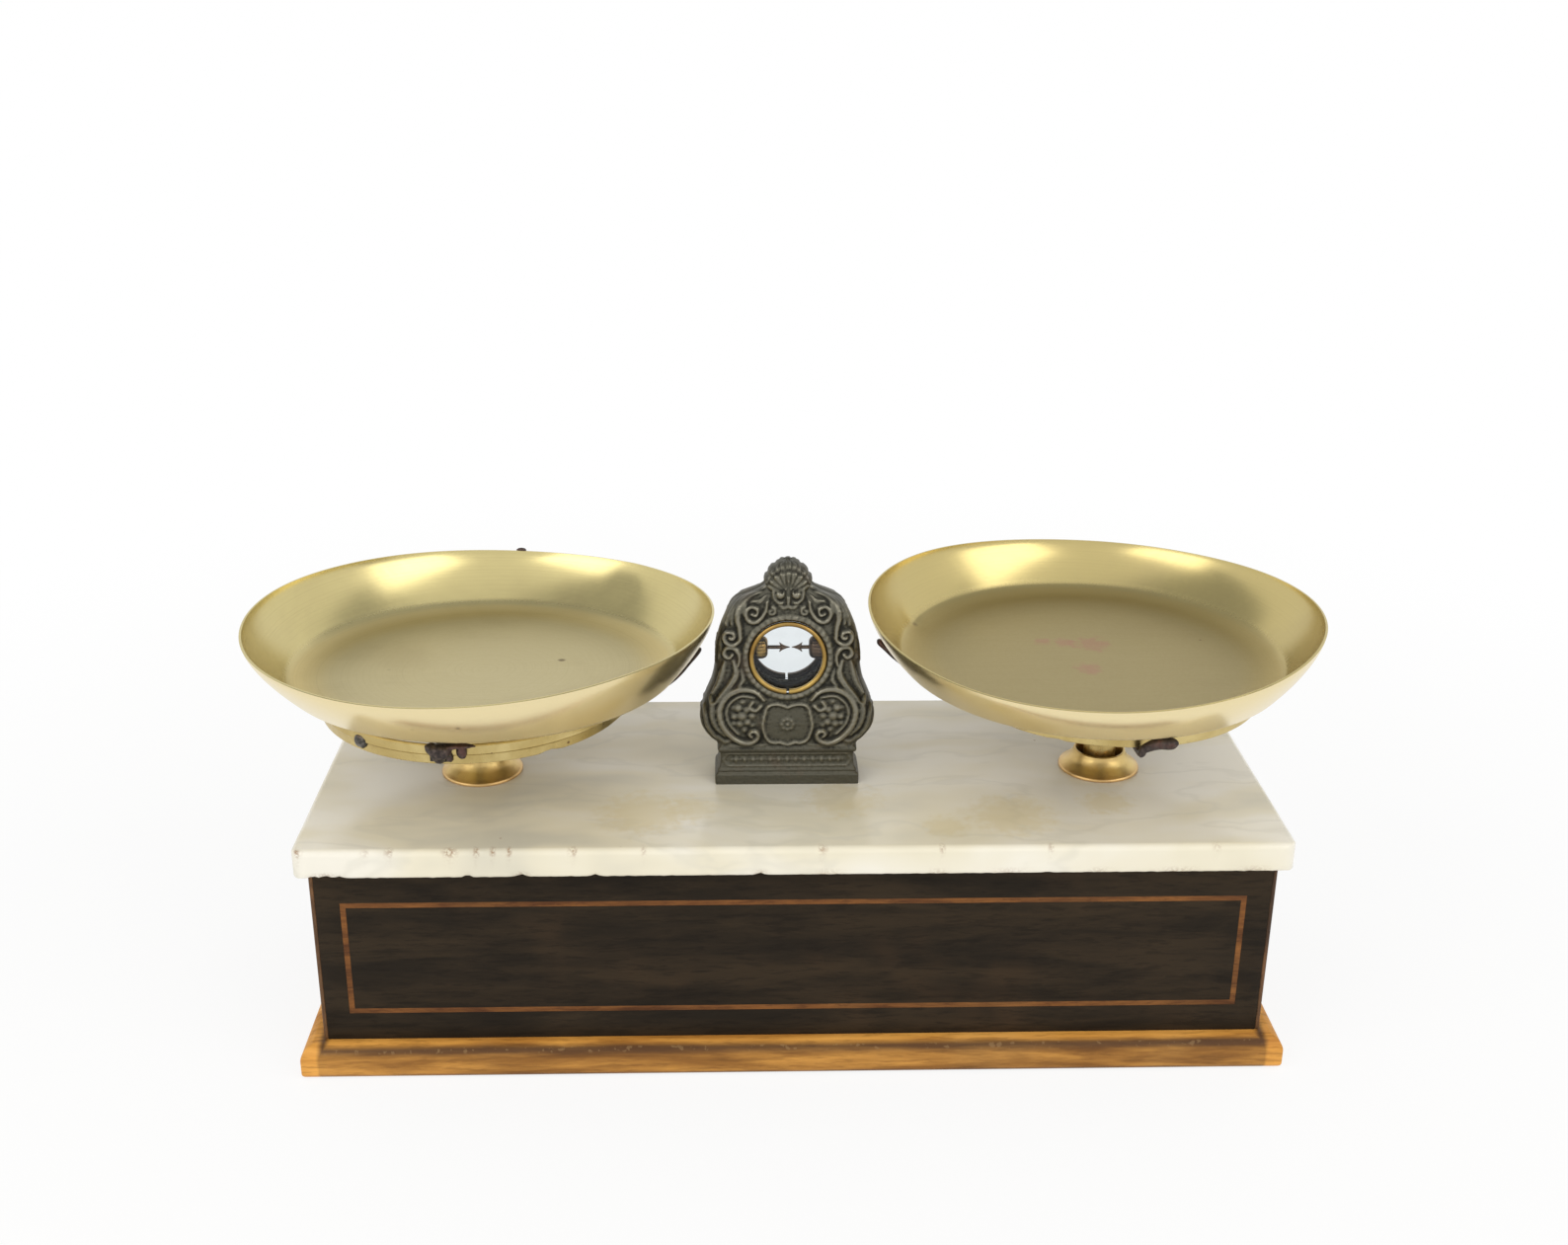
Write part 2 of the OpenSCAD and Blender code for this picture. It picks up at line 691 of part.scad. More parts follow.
// Bearing block with a V groove along Y whose bottom lies just below the knife edge
module bearing_block() {
    half = bearing_w / 2;
    mouth = groove_h * tan(60);
    rotate([90, 0, 0]) linear_extrude(cheek_t, center = true) polygon([[-half, -bearing_h],
        [half, -bearing_h], [half, groove_h], [mouth, groove_h], [0, -edge_gap], [-mouth, groove_h],
        [-half, groove_h]]);
}

module centre_bearings() {
    color("lightsteelblue") for (s = [-1, 1])
        translate([0, s * (cheek_in + cheek_t / 2), pivot_z]) bearing_block();
}

module stop_pads() {
    pad_l = 2 * yoke_half - 4;
    pad_w = 2 * cheek_out + 4;
    color("saddlebrown") for (s = [-1, 1])
        translate([s * arm, 0, base_h]) linear_extrude(pad_t) round_rect(pad_l, pad_w, 3);
}

// Pin through both cheeks, with a flat head outside the rear one
module stay_pin() {
    color("silver") {
        cross_rod(pin_d, 2 * cheek_out + 2);
        translate([0, cheek_out + 0.75, 0]) cross_rod(pin_d + 3, 1.5);
    }
}
module stay_centre_pin() { translate([0, 0, stay_z]) stay_pin(); }

// Knife section with its edge at the origin and its back below
module knife_section(grow) {
    low = knife_h + grow;
    half = low * tan(30) + grow;
    polygon([[0, grow], [half, -low], [-half, -low]]);
}
module knife(l, grow) {
    rotate([90, 0, 0]) linear_extrude(l, center = true) knife_section(grow);
}

module main_beam() {
    boss_half_l = 11;
    waist_drop = beam_h * 0.2;
    color("slategray") difference() {
        rotate([90, 0, 0]) linear_extrude(beam_t, center = true) polygon([
            [-beam_end, beam_low], [-arm / 2, beam_low + waist_drop], [-boss_half_l, beam_low - 1],
            [boss_half_l, beam_low - 1], [arm / 2, beam_low + waist_drop], [beam_end, beam_low],
            [beam_end, beam_top], [arm / 2, beam_top - waist_drop], [boss_half_l, beam_top],
            [boss_half_l, pivot_z + knife_h + 3], [-boss_half_l, pivot_z + knife_h + 3],
            [-boss_half_l, beam_top], [-arm / 2, beam_top - waist_drop], [-beam_end, beam_top]]);
        translate([0, 0, pivot_z]) mirror([0, 0, 1]) knife(2 * beam_t, fit_gap);
        for (s = [-1, 1]) translate([s * arm, 0, pivot_z]) knife(2 * beam_t, fit_gap);
        for (s = [-1, 1])
            translate([s * (beam_end - trim_seat), 0, trim_z]) rotate([0, s * 90, 0])
                cylinder(d = trim_d + 2 * fit_gap, h = trim_seat + 1);
    }
}
module centre_knife() {
    color("silver") translate([0, 0, pivot_z]) mirror([0, 0, 1]) knife(knife_l, 0);
}
module left_knife() { color("silver") translate([-arm, 0, pivot_z]) knife(knife_l, 0); }
module right_knife() { color("silver") translate([arm, 0, pivot_z]) knife(knife_l, 0); }

module trim_screws() {
    color("silver") for (s = [-1, 1])
        translate([s * (beam_end - trim_seat), 0, trim_z]) rotate([0, s * 90, 0])
            cylinder(d = trim_d, h = trim_l + trim_seat);
}

module trim_nuts() {
    color("goldenrod") for (s = [-1, 1])
        translate([s * (beam_end + trim_l / 2) - trim_shift, 0, trim_z]) rotate([0, 90, 0]) difference() {
            cylinder(d = nut_d, h = nut_t, center = true);
            cylinder(d = trim_d + 2 * fit_gap, h = 2 * nut_t, center = true);
        }
}

module stay_bar() {
    color("slategray") difference() {
        union() {
            translate([0, 0, stay_z]) cube([2 * arm, stay_t, stay_h], center = true);
            for (x = [-arm, 0, arm]) translate([x, 0, stay_z]) cross_rod(2 * boss_r, 2 * boss_half);
        }
        translate([0, 0, stay_z]) cross_rod(pin_d + 2 * pin_gap, 2 * cheek_gap);
        for (s = [-1, 1]) translate([s * arm, 0, stay_z]) cross_rod(pin_d + 2 * open_gap, 2 * cheek_gap);
    }
}

// Side plate of a yoke: a window for the end knife, and a leg down to the stay
module yoke_plate() {
    shoulder = pivot_z - 14;
    difference() {
        rotate([90, 0, 0]) linear_extrude(cheek_t, center = true) polygon([
            [-leg_half, stay_z - leg_end], [leg_half, stay_z - leg_end], [leg_half, shoulder - 6],
            [yoke_half, shoulder], [yoke_half, arm_z], [-yoke_half, arm_z], [-yoke_half, shoulder],
            [-leg_half, shoulder - 6]]);
        translate([-bearing_w / 2 - fit_gap, -cheek_t, pivot_z - knife_h - 3])
            cube([bearing_w + 2 * fit_gap, 2 * cheek_t, knife_h + 3 + bearing_h + fit_gap]);
        translate([0, 0, stay_z]) cross_rod(pin_d + 2 * fit_gap, 2 * cheek_t);
    }
}

module yoke(side) {
    color("#2d3a33") translate([side * arm, 0, 0]) {
        for (s = [-1, 1]) translate([0, s * (cheek_in + cheek_t / 2), 0]) yoke_plate();
        difference() {
            translate([-yoke_half, -cheek_in, bridge_z]) cube([2 * yoke_half, cheek_gap, bridge_t]);
            translate([0, 0, bridge_z - 1]) cylinder(d = spigot_d + 2 * fit_gap, h = bridge_t + 2);
        }
    }
}
module left_yoke() { yoke(-1); }
module right_yoke() { yoke(1); }

module yoke_bearings(side) {
    color("lightsteelblue") for (s = [-1, 1])
        translate([side * arm, s * (cheek_in + cheek_t / 2), pivot_z]) mirror([0, 0, 1]) bearing_block();
}
module left_yoke_bearings() { yoke_bearings(-1); }
module right_yoke_bearings() { yoke_bearings(1); }

module left_stay_pin() { translate([-arm, 0, stay_z]) stay_pin(); }
module right_stay_pin() { translate([arm, 0, stay_z]) stay_pin(); }

// Stem with a spigot at each end, one through the yoke's bridge and one through the cross
module stem(side) {
    foot_z = arm_z + arm_t;
    color("gold") translate([side * arm, 0, 0]) {
        translate([0, 0, foot_z]) cylinder(d = stem_d, h = cross_z - foot_z);
        translate([0, 0, bridge_z]) cylinder(d = spigot_d, h = foot_z - bridge_z);
        translate([0, 0, cross_z]) cylinder(d = spigot_d, h = cross_t + hub_nut_h - 0.4);
    }
}
module left_stem() { stem(-1); }
module right_stem() { stem(1); }

// Claw that leaves a cross's arm as thick as the arm, swells outside the ring and ends round
module claw(bends, end_d) {
    path = curve(concat([[claw_root_r, cross_t / 2], [claw_pass_r, cross_t / 2]], bends), claw_steps);
    n = len(path) - 1;
    way = (path[n] - path[n - 1]) / norm(path[n] - path[n - 1]);
    function grown(t) = cross_t / 2 + min(1, 2.5 * t) * ((claw_d + (end_d - claw_d) * t - cross_t) / 2);
    radii = [for (i = [0 : n]) grown(max(0, (i - claw_steps) / (n - claw_steps)))];
    cap = [[0.18, 0.85], [0.3, 0.5]];
    taper_bar(concat(path, [for (c = cap) path[n] + c[0] * end_d * way]),
        concat(radii, [for (c = cap) c[1] * end_d / 2]), claw_sides);
}

// One arm of a cross along +X, with its claw turned sideways about the place where it leaves the ring
module cross_arm(bends, end_d, swing) {
    translate([0, -cross_w / 2, 0]) cube([ring_top_r + 1, cross_w, cross_t]);
    translate([claw_pass_r, 0, 0]) rotate([0, 0, swing]) translate([-claw_pass_r, 0, 0]) claw(bends, end_d);
}

// Iron cross under the ring; its arms point to the front, the right, the back and the left
module cross(side, turn, arms) {
    hub_r = 12;
    color("#3a2f2a") translate([side * arm, 0, cross_z]) rotate([0, 0, turn]) difference() {
        union() {
            cylinder(r = hub_r, h = cross_t);
            for (k = [0 : 3]) rotate([0, 0, 90 * (k - 1)]) cross_arm(arms[k][0], arms[k][1], arms[k][2]);
        }
        translate([0, 0, -1]) cylinder(d = spigot_d + 2 * fit_gap, h = cross_t + 2);
    }
}
module left_cross() {
    cross(-1, left_turn, [[stump_bends, stump_d, 0], [claw_bends, claw_tip_d, 0],
        [back_bends, claw_tip_d, 0], [short_bends, claw_d, 0]]);
}
module right_cross() {
    cross(1, right_turn, [[bent_bends, claw_tip_d, bent_claw_turn], [short_bends, claw_d, 0],
        [back_bends, claw_tip_d, 0], [claw_bends, claw_tip_d, 0]]);
}

module hub_nut(side) {
    chamfer = hub_nut_h / 3;
    color("gold") translate([side * arm, 0, cross_z + cross_t]) difference() {
        union() {
            cylinder(d = stem_d, h = hub_nut_h - chamfer);
            translate([0, 0, hub_nut_h - chamfer])
                cylinder(d1 = stem_d, d2 = stem_d - 2 * chamfer, h = chamfer);
        }
        translate([0, 0, -1]) cylinder(d = spigot_d + 2 * fit_gap, h = hub_nut_h + 2);
    }
}
module left_hub_nut() { hub_nut(-1); }
module right_hub_nut() { hub_nut(1); }

// Band with a raised line round its middle
module pan_ring() {
    lean = (ring_top_r - ring_low_r) / ring_h;
    wall = ring_t * norm([1, lean]);
    mid = ring_h / 2;
    line_r = ring_low_r + lean * mid + 0.6;
    color("gold") rotate_extrude($fn = 96) polygon([
        [ring_low_r - wall, 0], [ring_low_r, 0], [ring_low_r + lean * mid, mid], [line_r, mid],
        [line_r, mid + 1], [ring_top_r, ring_h - 0.6], [ring_top_r - 0.4, ring_h],
        [ring_top_r - wall, ring_h]]);
}
// The left ring is let down over its cross, with a notch for each arm
module left_ring() {
    notch_w = cross_w + 2 * fit_gap;
    notch_l = 2 * (ring_top_r + 2);
    translate([-arm, 0, left_ring_z]) difference() {
        pan_ring();
        for (k = [0, 1]) rotate([0, 0, 90 * k + left_turn])
            translate([-notch_l / 2, -notch_w / 2, left_ring_drop - fit_gap - cross_t - fit_gap])
                cube([notch_l, notch_w, ring_h]);
    }
}
module right_ring() { translate([arm, 0, right_ring_z]) pan_ring(); }

// Flat arm clamped under the stem, out to the post inside the housing
module pointer_arm(side) {
    root_r = 12;
    width = 8;
    end_x = meet_x + side * post_x;
    near = min(side * end_x, arm);
    color("silver") difference() {
        union() {
            translate([side * arm, 0, arm_z]) cylinder(r = root_r, h = arm_t);
            translate([min(end_x, side * arm), house_y - width / 2, arm_z]) cube([arm - near, width, arm_t]);
            translate([end_x, house_y, arm_z]) cylinder(d = width, h = arm_t);
        }
        translate([side * arm, 0, arm_z - 1]) cylinder(d = spigot_d + 2 * fit_gap, h = arm_t + 2);
        translate([end_x, house_y, arm_z - 1]) cylinder(d = post_d + 2 * fit_gap, h = arm_t + 2);
    }
}
module left_pointer_arm() { pointer_arm(-1); }
module right_pointer_arm() { pointer_arm(1); }

module pointer_post(side) {
    post_top = arrow_z + 3;
    color("silver") translate([meet_x + side * post_x, house_y, 0]) difference() {
        union() {
            translate([0, 0, arm_z]) cylinder(d = post_d, h = post_top - arm_z);
            translate([0, 0, arm_z + arm_t]) cylinder(d = post_d + 3, h = 2.5);
        }
        translate([0, 0, arrow_z]) rotate([0, 90, 0])
            cylinder(d = shank_d + 2 * fit_gap, h = 2 * post_d, center = true);
    }
}
module left_pointer_post() { pointer_post(-1); }
module right_pointer_post() { pointer_post(1); }

// Round knob on the arrow's shank, with grooves round its edge
module knob(side) {
    grooves = 16;
    color(side < 0 ? "goldenrod" : "#5a4630") translate([meet_x + side * knob_face, house_y, arrow_z])
        rotate([0, side * 90, 0]) difference() {
            union() {
                cylinder(d1 = knob_d - 1.6, d2 = knob_d, h = 0.8);
                translate([0, 0, 0.8]) cylinder(d = knob_d, h = knob_l - 1.6);
                translate([0, 0, knob_l - 0.8]) cylinder(d1 = knob_d, d2 = knob_d - 1.6, h = 0.8);
            }
            translate([0, 0, -1]) cylinder(d = shank_d + 2 * fit_gap, h = knob_l + 2);
            for (k = [0 : grooves - 1]) rotate([0, 0, 360 * k / grooves])
                translate([knob_d / 2 + 0.1, 0, -1]) cylinder(d = 0.8, h = knob_l + 2);
        }
}
module left_knob() { knob(-1); }
module right_knob() { knob(1); }

// Arrow: a round shank through the knob and the post, and a flat barbed head
module arrow(side) {
    head_l = 7.2;
    barb_l = 2.6;
    head_t = 1;
    color(side < 0 ? "goldenrod" : "#4a3a2c") translate([meet_x + side * tip_gap / 2, house_y, arrow_z]) {
        rotate([90, 0, 0]) linear_extrude(head_t, center = true) polygon([[0, 0],
            [side * (head_l - barb_l), shank_d / 2], [side * head_l, head_w / 2], [side * (head_l - 1.4), 0],
            [side * head_l, -head_w / 2], [side * (head_l - barb_l), -shank_d / 2]]);
        translate([side * (head_l - barb_l), 0, 0]) rotate([0, side * 90, 0])
            cylinder(d = shank_d, h = post_x - tip_gap / 2 - head_l + barb_l + post_d / 2);
    }
}
module left_arrow() { arrow(-1); }
module right_arrow() { arrow(1); }

// Thin spun pan: flat floor and a bowed wall, the sheet's thickness square to the wall
function wall_r(t) = pan_floor_r + (pan_r - pan_floor_r) * (1 - pow(1 - t, pan_bow));
function wall_slope(t) = (pan_r - pan_floor_r) * pan_bow * pow(1 - t, pan_bow - 1);
outer_wall = [for (i = [0 : pan_steps]) let (t = i / pan_steps) [wall_r(t), pan_h * t]];
inner_wall = [for (i = [pan_steps : -1 : 0]) let (t = i / pan_steps, n = [-pan_h, wall_slope(t)])
    [wall_r(t), pan_h * t] + pan_t * n / norm(n)];

module pan(x, z) {
    inner = [for (p = inner_wall) if (p[1] > pan_t) p];
    color("khaki") translate([x, 0, z]) rotate_extrude($fn = 128)
        polygon(concat([[0, 0]], outer_wall, inner, [[pan_floor_r - 2, pan_t], [0, pan_t]]));
}
module left_pan() { pan(-arm + left_pan_shift, left_pan_z); }
module right_pan() { pan(arm + right_pan_shift, right_pan_z); }

base_board();
front_panel();
back_panel();
left_panel();
right_panel();
front_stringing();
corner_strips();
corner_blocks();
case_screws();
marble_slab();
left_collar();
right_collar();
housing_front();
housing_back();
front_bezel();
back_bezel();
front_glass();
back_glass();
housing_screws();
centre_stand();
stand_screws();
centre_bearings();
stop_pads();
stay_centre_pin();
main_beam();
centre_knife();
left_knife();
right_knife();
trim_screws();
trim_nuts();
stay_bar();
left_yoke();
left_yoke_bearings();
left_stay_pin();
left_stem();
left_cross();
left_hub_nut();
left_ring();
left_pointer_arm();
left_pointer_post();
left_knob();
left_arrow();
right_yoke();
right_yoke_bearings();
right_stay_pin();
right_stem();
right_cross();
right_hub_nut();
right_ring();
right_pointer_arm();
right_pointer_post();
right_knob();
right_arrow();
left_pan();
right_pan();
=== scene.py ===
import json
import math
import bmesh
import bpy
import numpy as np
from mathutils import Matrix, Vector, noise


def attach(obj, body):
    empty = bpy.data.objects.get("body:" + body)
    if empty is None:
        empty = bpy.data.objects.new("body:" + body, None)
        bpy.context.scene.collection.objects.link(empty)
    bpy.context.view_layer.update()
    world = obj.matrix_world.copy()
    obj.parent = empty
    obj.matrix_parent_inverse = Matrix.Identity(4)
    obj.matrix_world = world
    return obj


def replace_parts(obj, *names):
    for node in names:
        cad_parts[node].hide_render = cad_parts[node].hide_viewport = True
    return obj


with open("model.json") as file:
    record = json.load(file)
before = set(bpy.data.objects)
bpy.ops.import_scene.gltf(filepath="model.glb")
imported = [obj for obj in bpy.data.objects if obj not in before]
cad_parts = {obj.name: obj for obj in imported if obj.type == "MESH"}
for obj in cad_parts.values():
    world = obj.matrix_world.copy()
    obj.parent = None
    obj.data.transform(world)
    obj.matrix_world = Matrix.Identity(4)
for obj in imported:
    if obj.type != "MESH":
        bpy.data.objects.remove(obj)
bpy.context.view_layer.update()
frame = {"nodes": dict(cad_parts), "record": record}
mm = 0.001
stemX, slabTop = 133.0, 107.0  # millimetres: stems from the middle, top of the slab
sides = ((-1, "left"), (1, "right"))
bodyOf = {node: body for body, nodes in frame["record"]["behaviour"]["bodies"].items() for node in nodes}
slotOf = {row["node"]: row["material_slot"] for row in frame["record"]["subparts"]}
print("CAD loaded:", len(bodyOf), "nodes")


# Camera, at the photograph's place
photoCamera = {
    "eye": (-0.025776, -0.695932, 0.449603),  # metres, from the middle of the base's underside
    "yaw": 1.7994,  # degrees, towards +X
    "pitch": 21.5645,  # degrees, downwards
    "roll": 0.4255,
    "focalPixels": 1812.277,
    "framePixels": 1588,
    "sensor": 36.0,  # millimetres
}


def addCamera(view):
    yaw, pitch, roll = (math.radians(view[key]) for key in ("yaw", "pitch", "roll"))
    forward = Vector((math.sin(yaw) * math.cos(pitch), math.cos(yaw) * math.cos(pitch), -math.sin(pitch)))
    levelRight = Vector((math.cos(yaw), -math.sin(yaw), 0.0))
    levelUp = levelRight.cross(forward)
    right = levelRight * math.cos(roll) + levelUp * math.sin(roll)
    up = levelUp * math.cos(roll) - levelRight * math.sin(roll)
    lens = bpy.data.cameras.new("photoCamera")
    lens.sensor_width = view["sensor"]
    lens.sensor_fit = "HORIZONTAL"
    lens.lens = view["sensor"] * view["focalPixels"] / view["framePixels"]
    camera = bpy.data.objects.new("photoCamera", lens)
    turn = Matrix((right, up, -forward)).transposed().to_4x4()
    camera.matrix_world = Matrix.Translation(view["eye"]) @ turn
    bpy.context.scene.collection.objects.link(camera)
    bpy.context.scene.camera = camera


addCamera(photoCamera)
print("camera placed")


# Nodes: each helper adds one node, whose inputs are given as values or as the sockets that feed them
def setInputs(tree, node, values):
    for key, source in values.items():
        socket = node.inputs[key]
        if isinstance(source, bpy.types.NodeSocket):
            tree.links.new(source, socket)
        elif socket.type == "RGBA":
            socket.default_value = (*source, 1.0)
        else:
            socket.default_value = source


def addNode(tree, kind, values=None, **settings):
    made = tree.nodes.new(kind)
    for key, value in settings.items():
        setattr(made, key, value)
    setInputs(tree, made, values or {})
    return made


def mathNode(tree, operation, *values, clamp=False):
    made = addNode(tree, "ShaderNodeMath", dict(enumerate(values)), operation=operation, use_clamp=clamp)
    return made.outputs[0]


def vectorNode(tree, operation, *values, output="Vector"):
    made = addNode(tree, "ShaderNodeVectorMath", dict(enumerate(values)), operation=operation)
    return made.outputs[output]


def axesOf(tree, vector):
    return addNode(tree, "ShaderNodeSeparateXYZ", {0: vector}).outputs


def addNoise(tree, vector, scale, detail, rough=0.5, twist=0.0):
    values = {"Vector": vector, "Scale": scale, "Detail": detail, "Roughness": rough, "Distortion": twist}
    return addNode(tree, "ShaderNodeTexNoise", values).outputs["Fac"]


def stepRange(tree, source, low, high, toLow=0.0, toHigh=1.0):
    values = {"Value": source, "From Min": low, "From Max": high, "To Min": toLow, "To Max": toHigh}
    return addNode(tree, "ShaderNodeMapRange", values, interpolation_type="SMOOTHSTEP").outputs["Result"]


def mixColours(tree, share, first, second):
    return addNode(tree, "ShaderNodeMix", {0: share, 6: first, 7: second}, data_type="RGBA").outputs[2]


def paintOver(tree, base, colour, source, *span):
    return mixColours(tree, stepRange(tree, source, *span), base, colour)


def newGroup(name, inputs, outputs):
    group = bpy.data.node_groups.new(name, "ShaderNodeTree")
    for socketName, value in inputs.items():
        kind = "NodeSocketFloat" if isinstance(value, float) else "NodeSocketVector"
        socket = group.interface.new_socket(socketName, in_out="INPUT", socket_type=kind)
        if value is not None:
            socket.default_value = value
    for socketName in outputs:
        group.interface.new_socket(socketName, in_out="OUTPUT", socket_type="NodeSocketFloat")
    return group, group.nodes.new("NodeGroupInput").outputs, group.nodes.new("NodeGroupOutput")


def useGroup(tree, group, values):
    return addNode(tree, "ShaderNodeGroup", values, node_tree=group).outputs


# Grain: streaks along one direction, with fine pores
def makeGrainGroup():
    group, given, result = newGroup("woodGrain", {"Vector": None, "Stretch": (6.0, 90.0, 90.0)},
                                    ["Streaks", "Pores", "Clouds"])
    stretched = vectorNode(group, "MULTIPLY", given["Vector"], given["Stretch"])
    fine = vectorNode(group, "MULTIPLY", stretched, (5.0, 5.0, 5.0))
    pores = addNoise(group, fine, 1.0, 3.0, 0.7)
    setInputs(group, result, {"Streaks": addNoise(group, stretched, 1.0, 6.0, 0.62, 0.35),
                              "Pores": stepRange(group, pores, 0.36, 0.5, 1.0, 0.0),
                              "Clouds": addNoise(group, given["Vector"], 16.0, 3.0, 0.55)})
    return group


# Patina: broad clouds, fine mottling and small dark specks of an old metal
def makePatinaGroup():
    group, given, result = newGroup("metalPatina", {"Vector": None, "Cloud Scale": 28.0, "Fine Scale": 420.0,
                                                    "Speck Scale": 90.0, "Speck Size": 0.1},
                                    ["Clouds", "Mottle", "Specks"])
    place = given["Vector"]
    cells = addNode(group, "ShaderNodeTexVoronoi", {"Vector": place, "Scale": given["Speck Scale"]})
    edge = mathNode(group, "MULTIPLY", given["Speck Size"], addNoise(group, place, 40.0, 2.0))
    near = mathNode(group, "DIVIDE", cells.outputs["Distance"], edge)
    setInputs(group, result, {"Clouds": addNoise(group, place, given["Cloud Scale"], 4.0, 0.6, 0.4),
                              "Mottle": addNoise(group, place, given["Fine Scale"], 5.0, 0.65),
                              "Specks": stepRange(group, near, 0.5, 1.1, 1.0, 0.0)})
    return group


# Turning marks: fine circles about an upright axis, with faint scratches across them
def makeTurningGroup():
    group, given, result = newGroup("turningMarks", {"Vector": None}, ["Radius", "Circles", "Scratches"])
    place = given["Vector"]
    flat = vectorNode(group, "MULTIPLY", place, (1.0, 1.0, 0.0))
    radius = vectorNode(group, "LENGTH", flat, output="Value")
    along = mathNode(group, "ADD", radius, axesOf(group, place)["Z"])
    circles = addNode(group, "ShaderNodeTexNoise", {"W": along, "Scale": 1100.0, "Detail": 3.0, "Roughness": 0.7},
                      noise_dimensions="1D")
    slanted = addNode(group, "ShaderNodeMapping", {"Vector": place, "Rotation": (0.0, 0.0, 0.5),
                                                   "Scale": (1.0, 30.0, 1.0)})
    setInputs(group, result, {"Radius": radius, "Circles": circles.outputs["Fac"],
                              "Scratches": addNoise(group, slanted.outputs[0], 30.0, 6.0, 0.8)})
    return group


# Stain: a soft round spot about one point, broken up by noise
def makeStainGroup():
    group, given, result = newGroup("roundStain", {"Vector": None, "Centre": None, "Size": 0.005,
                                                   "Softness": 0.5}, ["Spot"])
    away = vectorNode(group, "DISTANCE", given["Vector"], given["Centre"], output="Value")
    near = mathNode(group, "DIVIDE", away, given["Size"])
    ragged = mathNode(group, "SUBTRACT", addNoise(group, given["Vector"], 260.0, 3.0), 0.5)
    edge = mathNode(group, "ADD", near, mathNode(group, "MULTIPLY", ragged, given["Softness"]))
    setInputs(group, result, {"Spot": stepRange(group, edge, 0.35, 1.0, 1.0, 0.0)})
    return group


grainGroup = makeGrainGroup()
patinaGroup = makePatinaGroup()
turningGroup = makeTurningGroup()
stainGroup = makeStainGroup()
print("shared node groups made")


# Finishes: newFinish starts a material, finishShader joins its colour, roughness and bump to the shader
finishes = {}


def newFinish(name, **principled):
    finishes[name] = bpy.data.materials.new(name)
    finishes[name].use_nodes = True
    tree = finishes[name].node_tree
    shader = tree.nodes["Principled BSDF"]
    setInputs(tree, shader, {key.replace("_", " "): value for key, value in principled.items()})
    return tree, addNode(tree, "ShaderNodeTexCoord").outputs["Object"]


def finishShader(tree, base, rough, height=None, strength=0.0, distance=0.0):
    shader = tree.nodes["Principled BSDF"]
    setInputs(tree, shader, {"Base Color": base, "Roughness": rough})
    if height is not None:
        bump = addNode(tree, "ShaderNodeBump", {"Strength": strength, "Distance": distance, "Height": height})
        setInputs(tree, shader, {"Normal": bump.outputs["Normal"]})


def addStains(tree, place, base, stains, colour, softness, share):
    for x, y, z, size in stains:
        stain = useGroup(tree, stainGroup, {"Vector": place, "Centre": (x, y, z), "Size": size,
                                            "Softness": softness})
        base = mixColours(tree, mathNode(tree, "MULTIPLY", stain["Spot"], share), base, colour)
    return base


# Brass in several ages: bright satin sheet, cast fittings, and the browned knob and arrow
brassAges = {
    "satinBrass": {"pale": (0.72, 0.58, 0.27), "deep": (0.58, 0.44, 0.18), "brown": (0.22, 0.13, 0.06),
                   "rough": (0.26, 0.36), "specks": 0.04},
    "collarBrass": {"pale": (0.72, 0.55, 0.22), "deep": (0.56, 0.38, 0.15), "brown": (0.34, 0.15, 0.07),
                    "rough": (0.32, 0.42), "specks": 0.04, "copper": (0.62, 0.38, 0.17),
                    "copperTo": (0.1082, 0.1115)},  # the height where the copper tone ends
    "ringBrass": {"pale": (0.66, 0.53, 0.24), "deep": (0.47, 0.35, 0.13), "brown": (0.18, 0.10, 0.05),
                  "rough": (0.26, 0.38), "specks": 0.12},
    "gildedBrass": {"pale": (0.50, 0.345, 0.105), "deep": (0.27, 0.16, 0.05), "brown": (0.07, 0.04, 0.025),
                    "rough": (0.28, 0.45), "specks": 0.2},
    "brownBrass": {"pale": (0.14, 0.085, 0.05), "deep": (0.07, 0.045, 0.03), "brown": (0.025, 0.018, 0.014),
                   "rough": (0.35, 0.5), "specks": 0.2},
}


def makeBrass(name, look):
    tree, place = newFinish(name, Metallic=1.0)
    patina = useGroup(tree, patinaGroup, {"Vector": place, "Speck Size": look["specks"]})
    clouds, mottle = patina["Clouds"], patina["Mottle"]
    base = paintOver(tree, look["pale"], look["deep"], clouds, 0.35, 0.7)
    base = paintOver(tree, base, look["brown"], mottle, 0.55, 0.8, 0.0, 0.3)
    if "copper" in look:
        rub = mathNode(tree, "ADD", axesOf(tree, place)["Z"], mathNode(tree, "MULTIPLY", clouds, 0.002))
        base = paintOver(tree, base, look["copper"], rub, *look["copperTo"], 0.75, 0.0)
    base = mixColours(tree, patina["Specks"], base, look["brown"])
    finishShader(tree, base, stepRange(tree, mottle, 0.3, 0.7, *look["rough"]), mottle, 0.15, 0.00003)


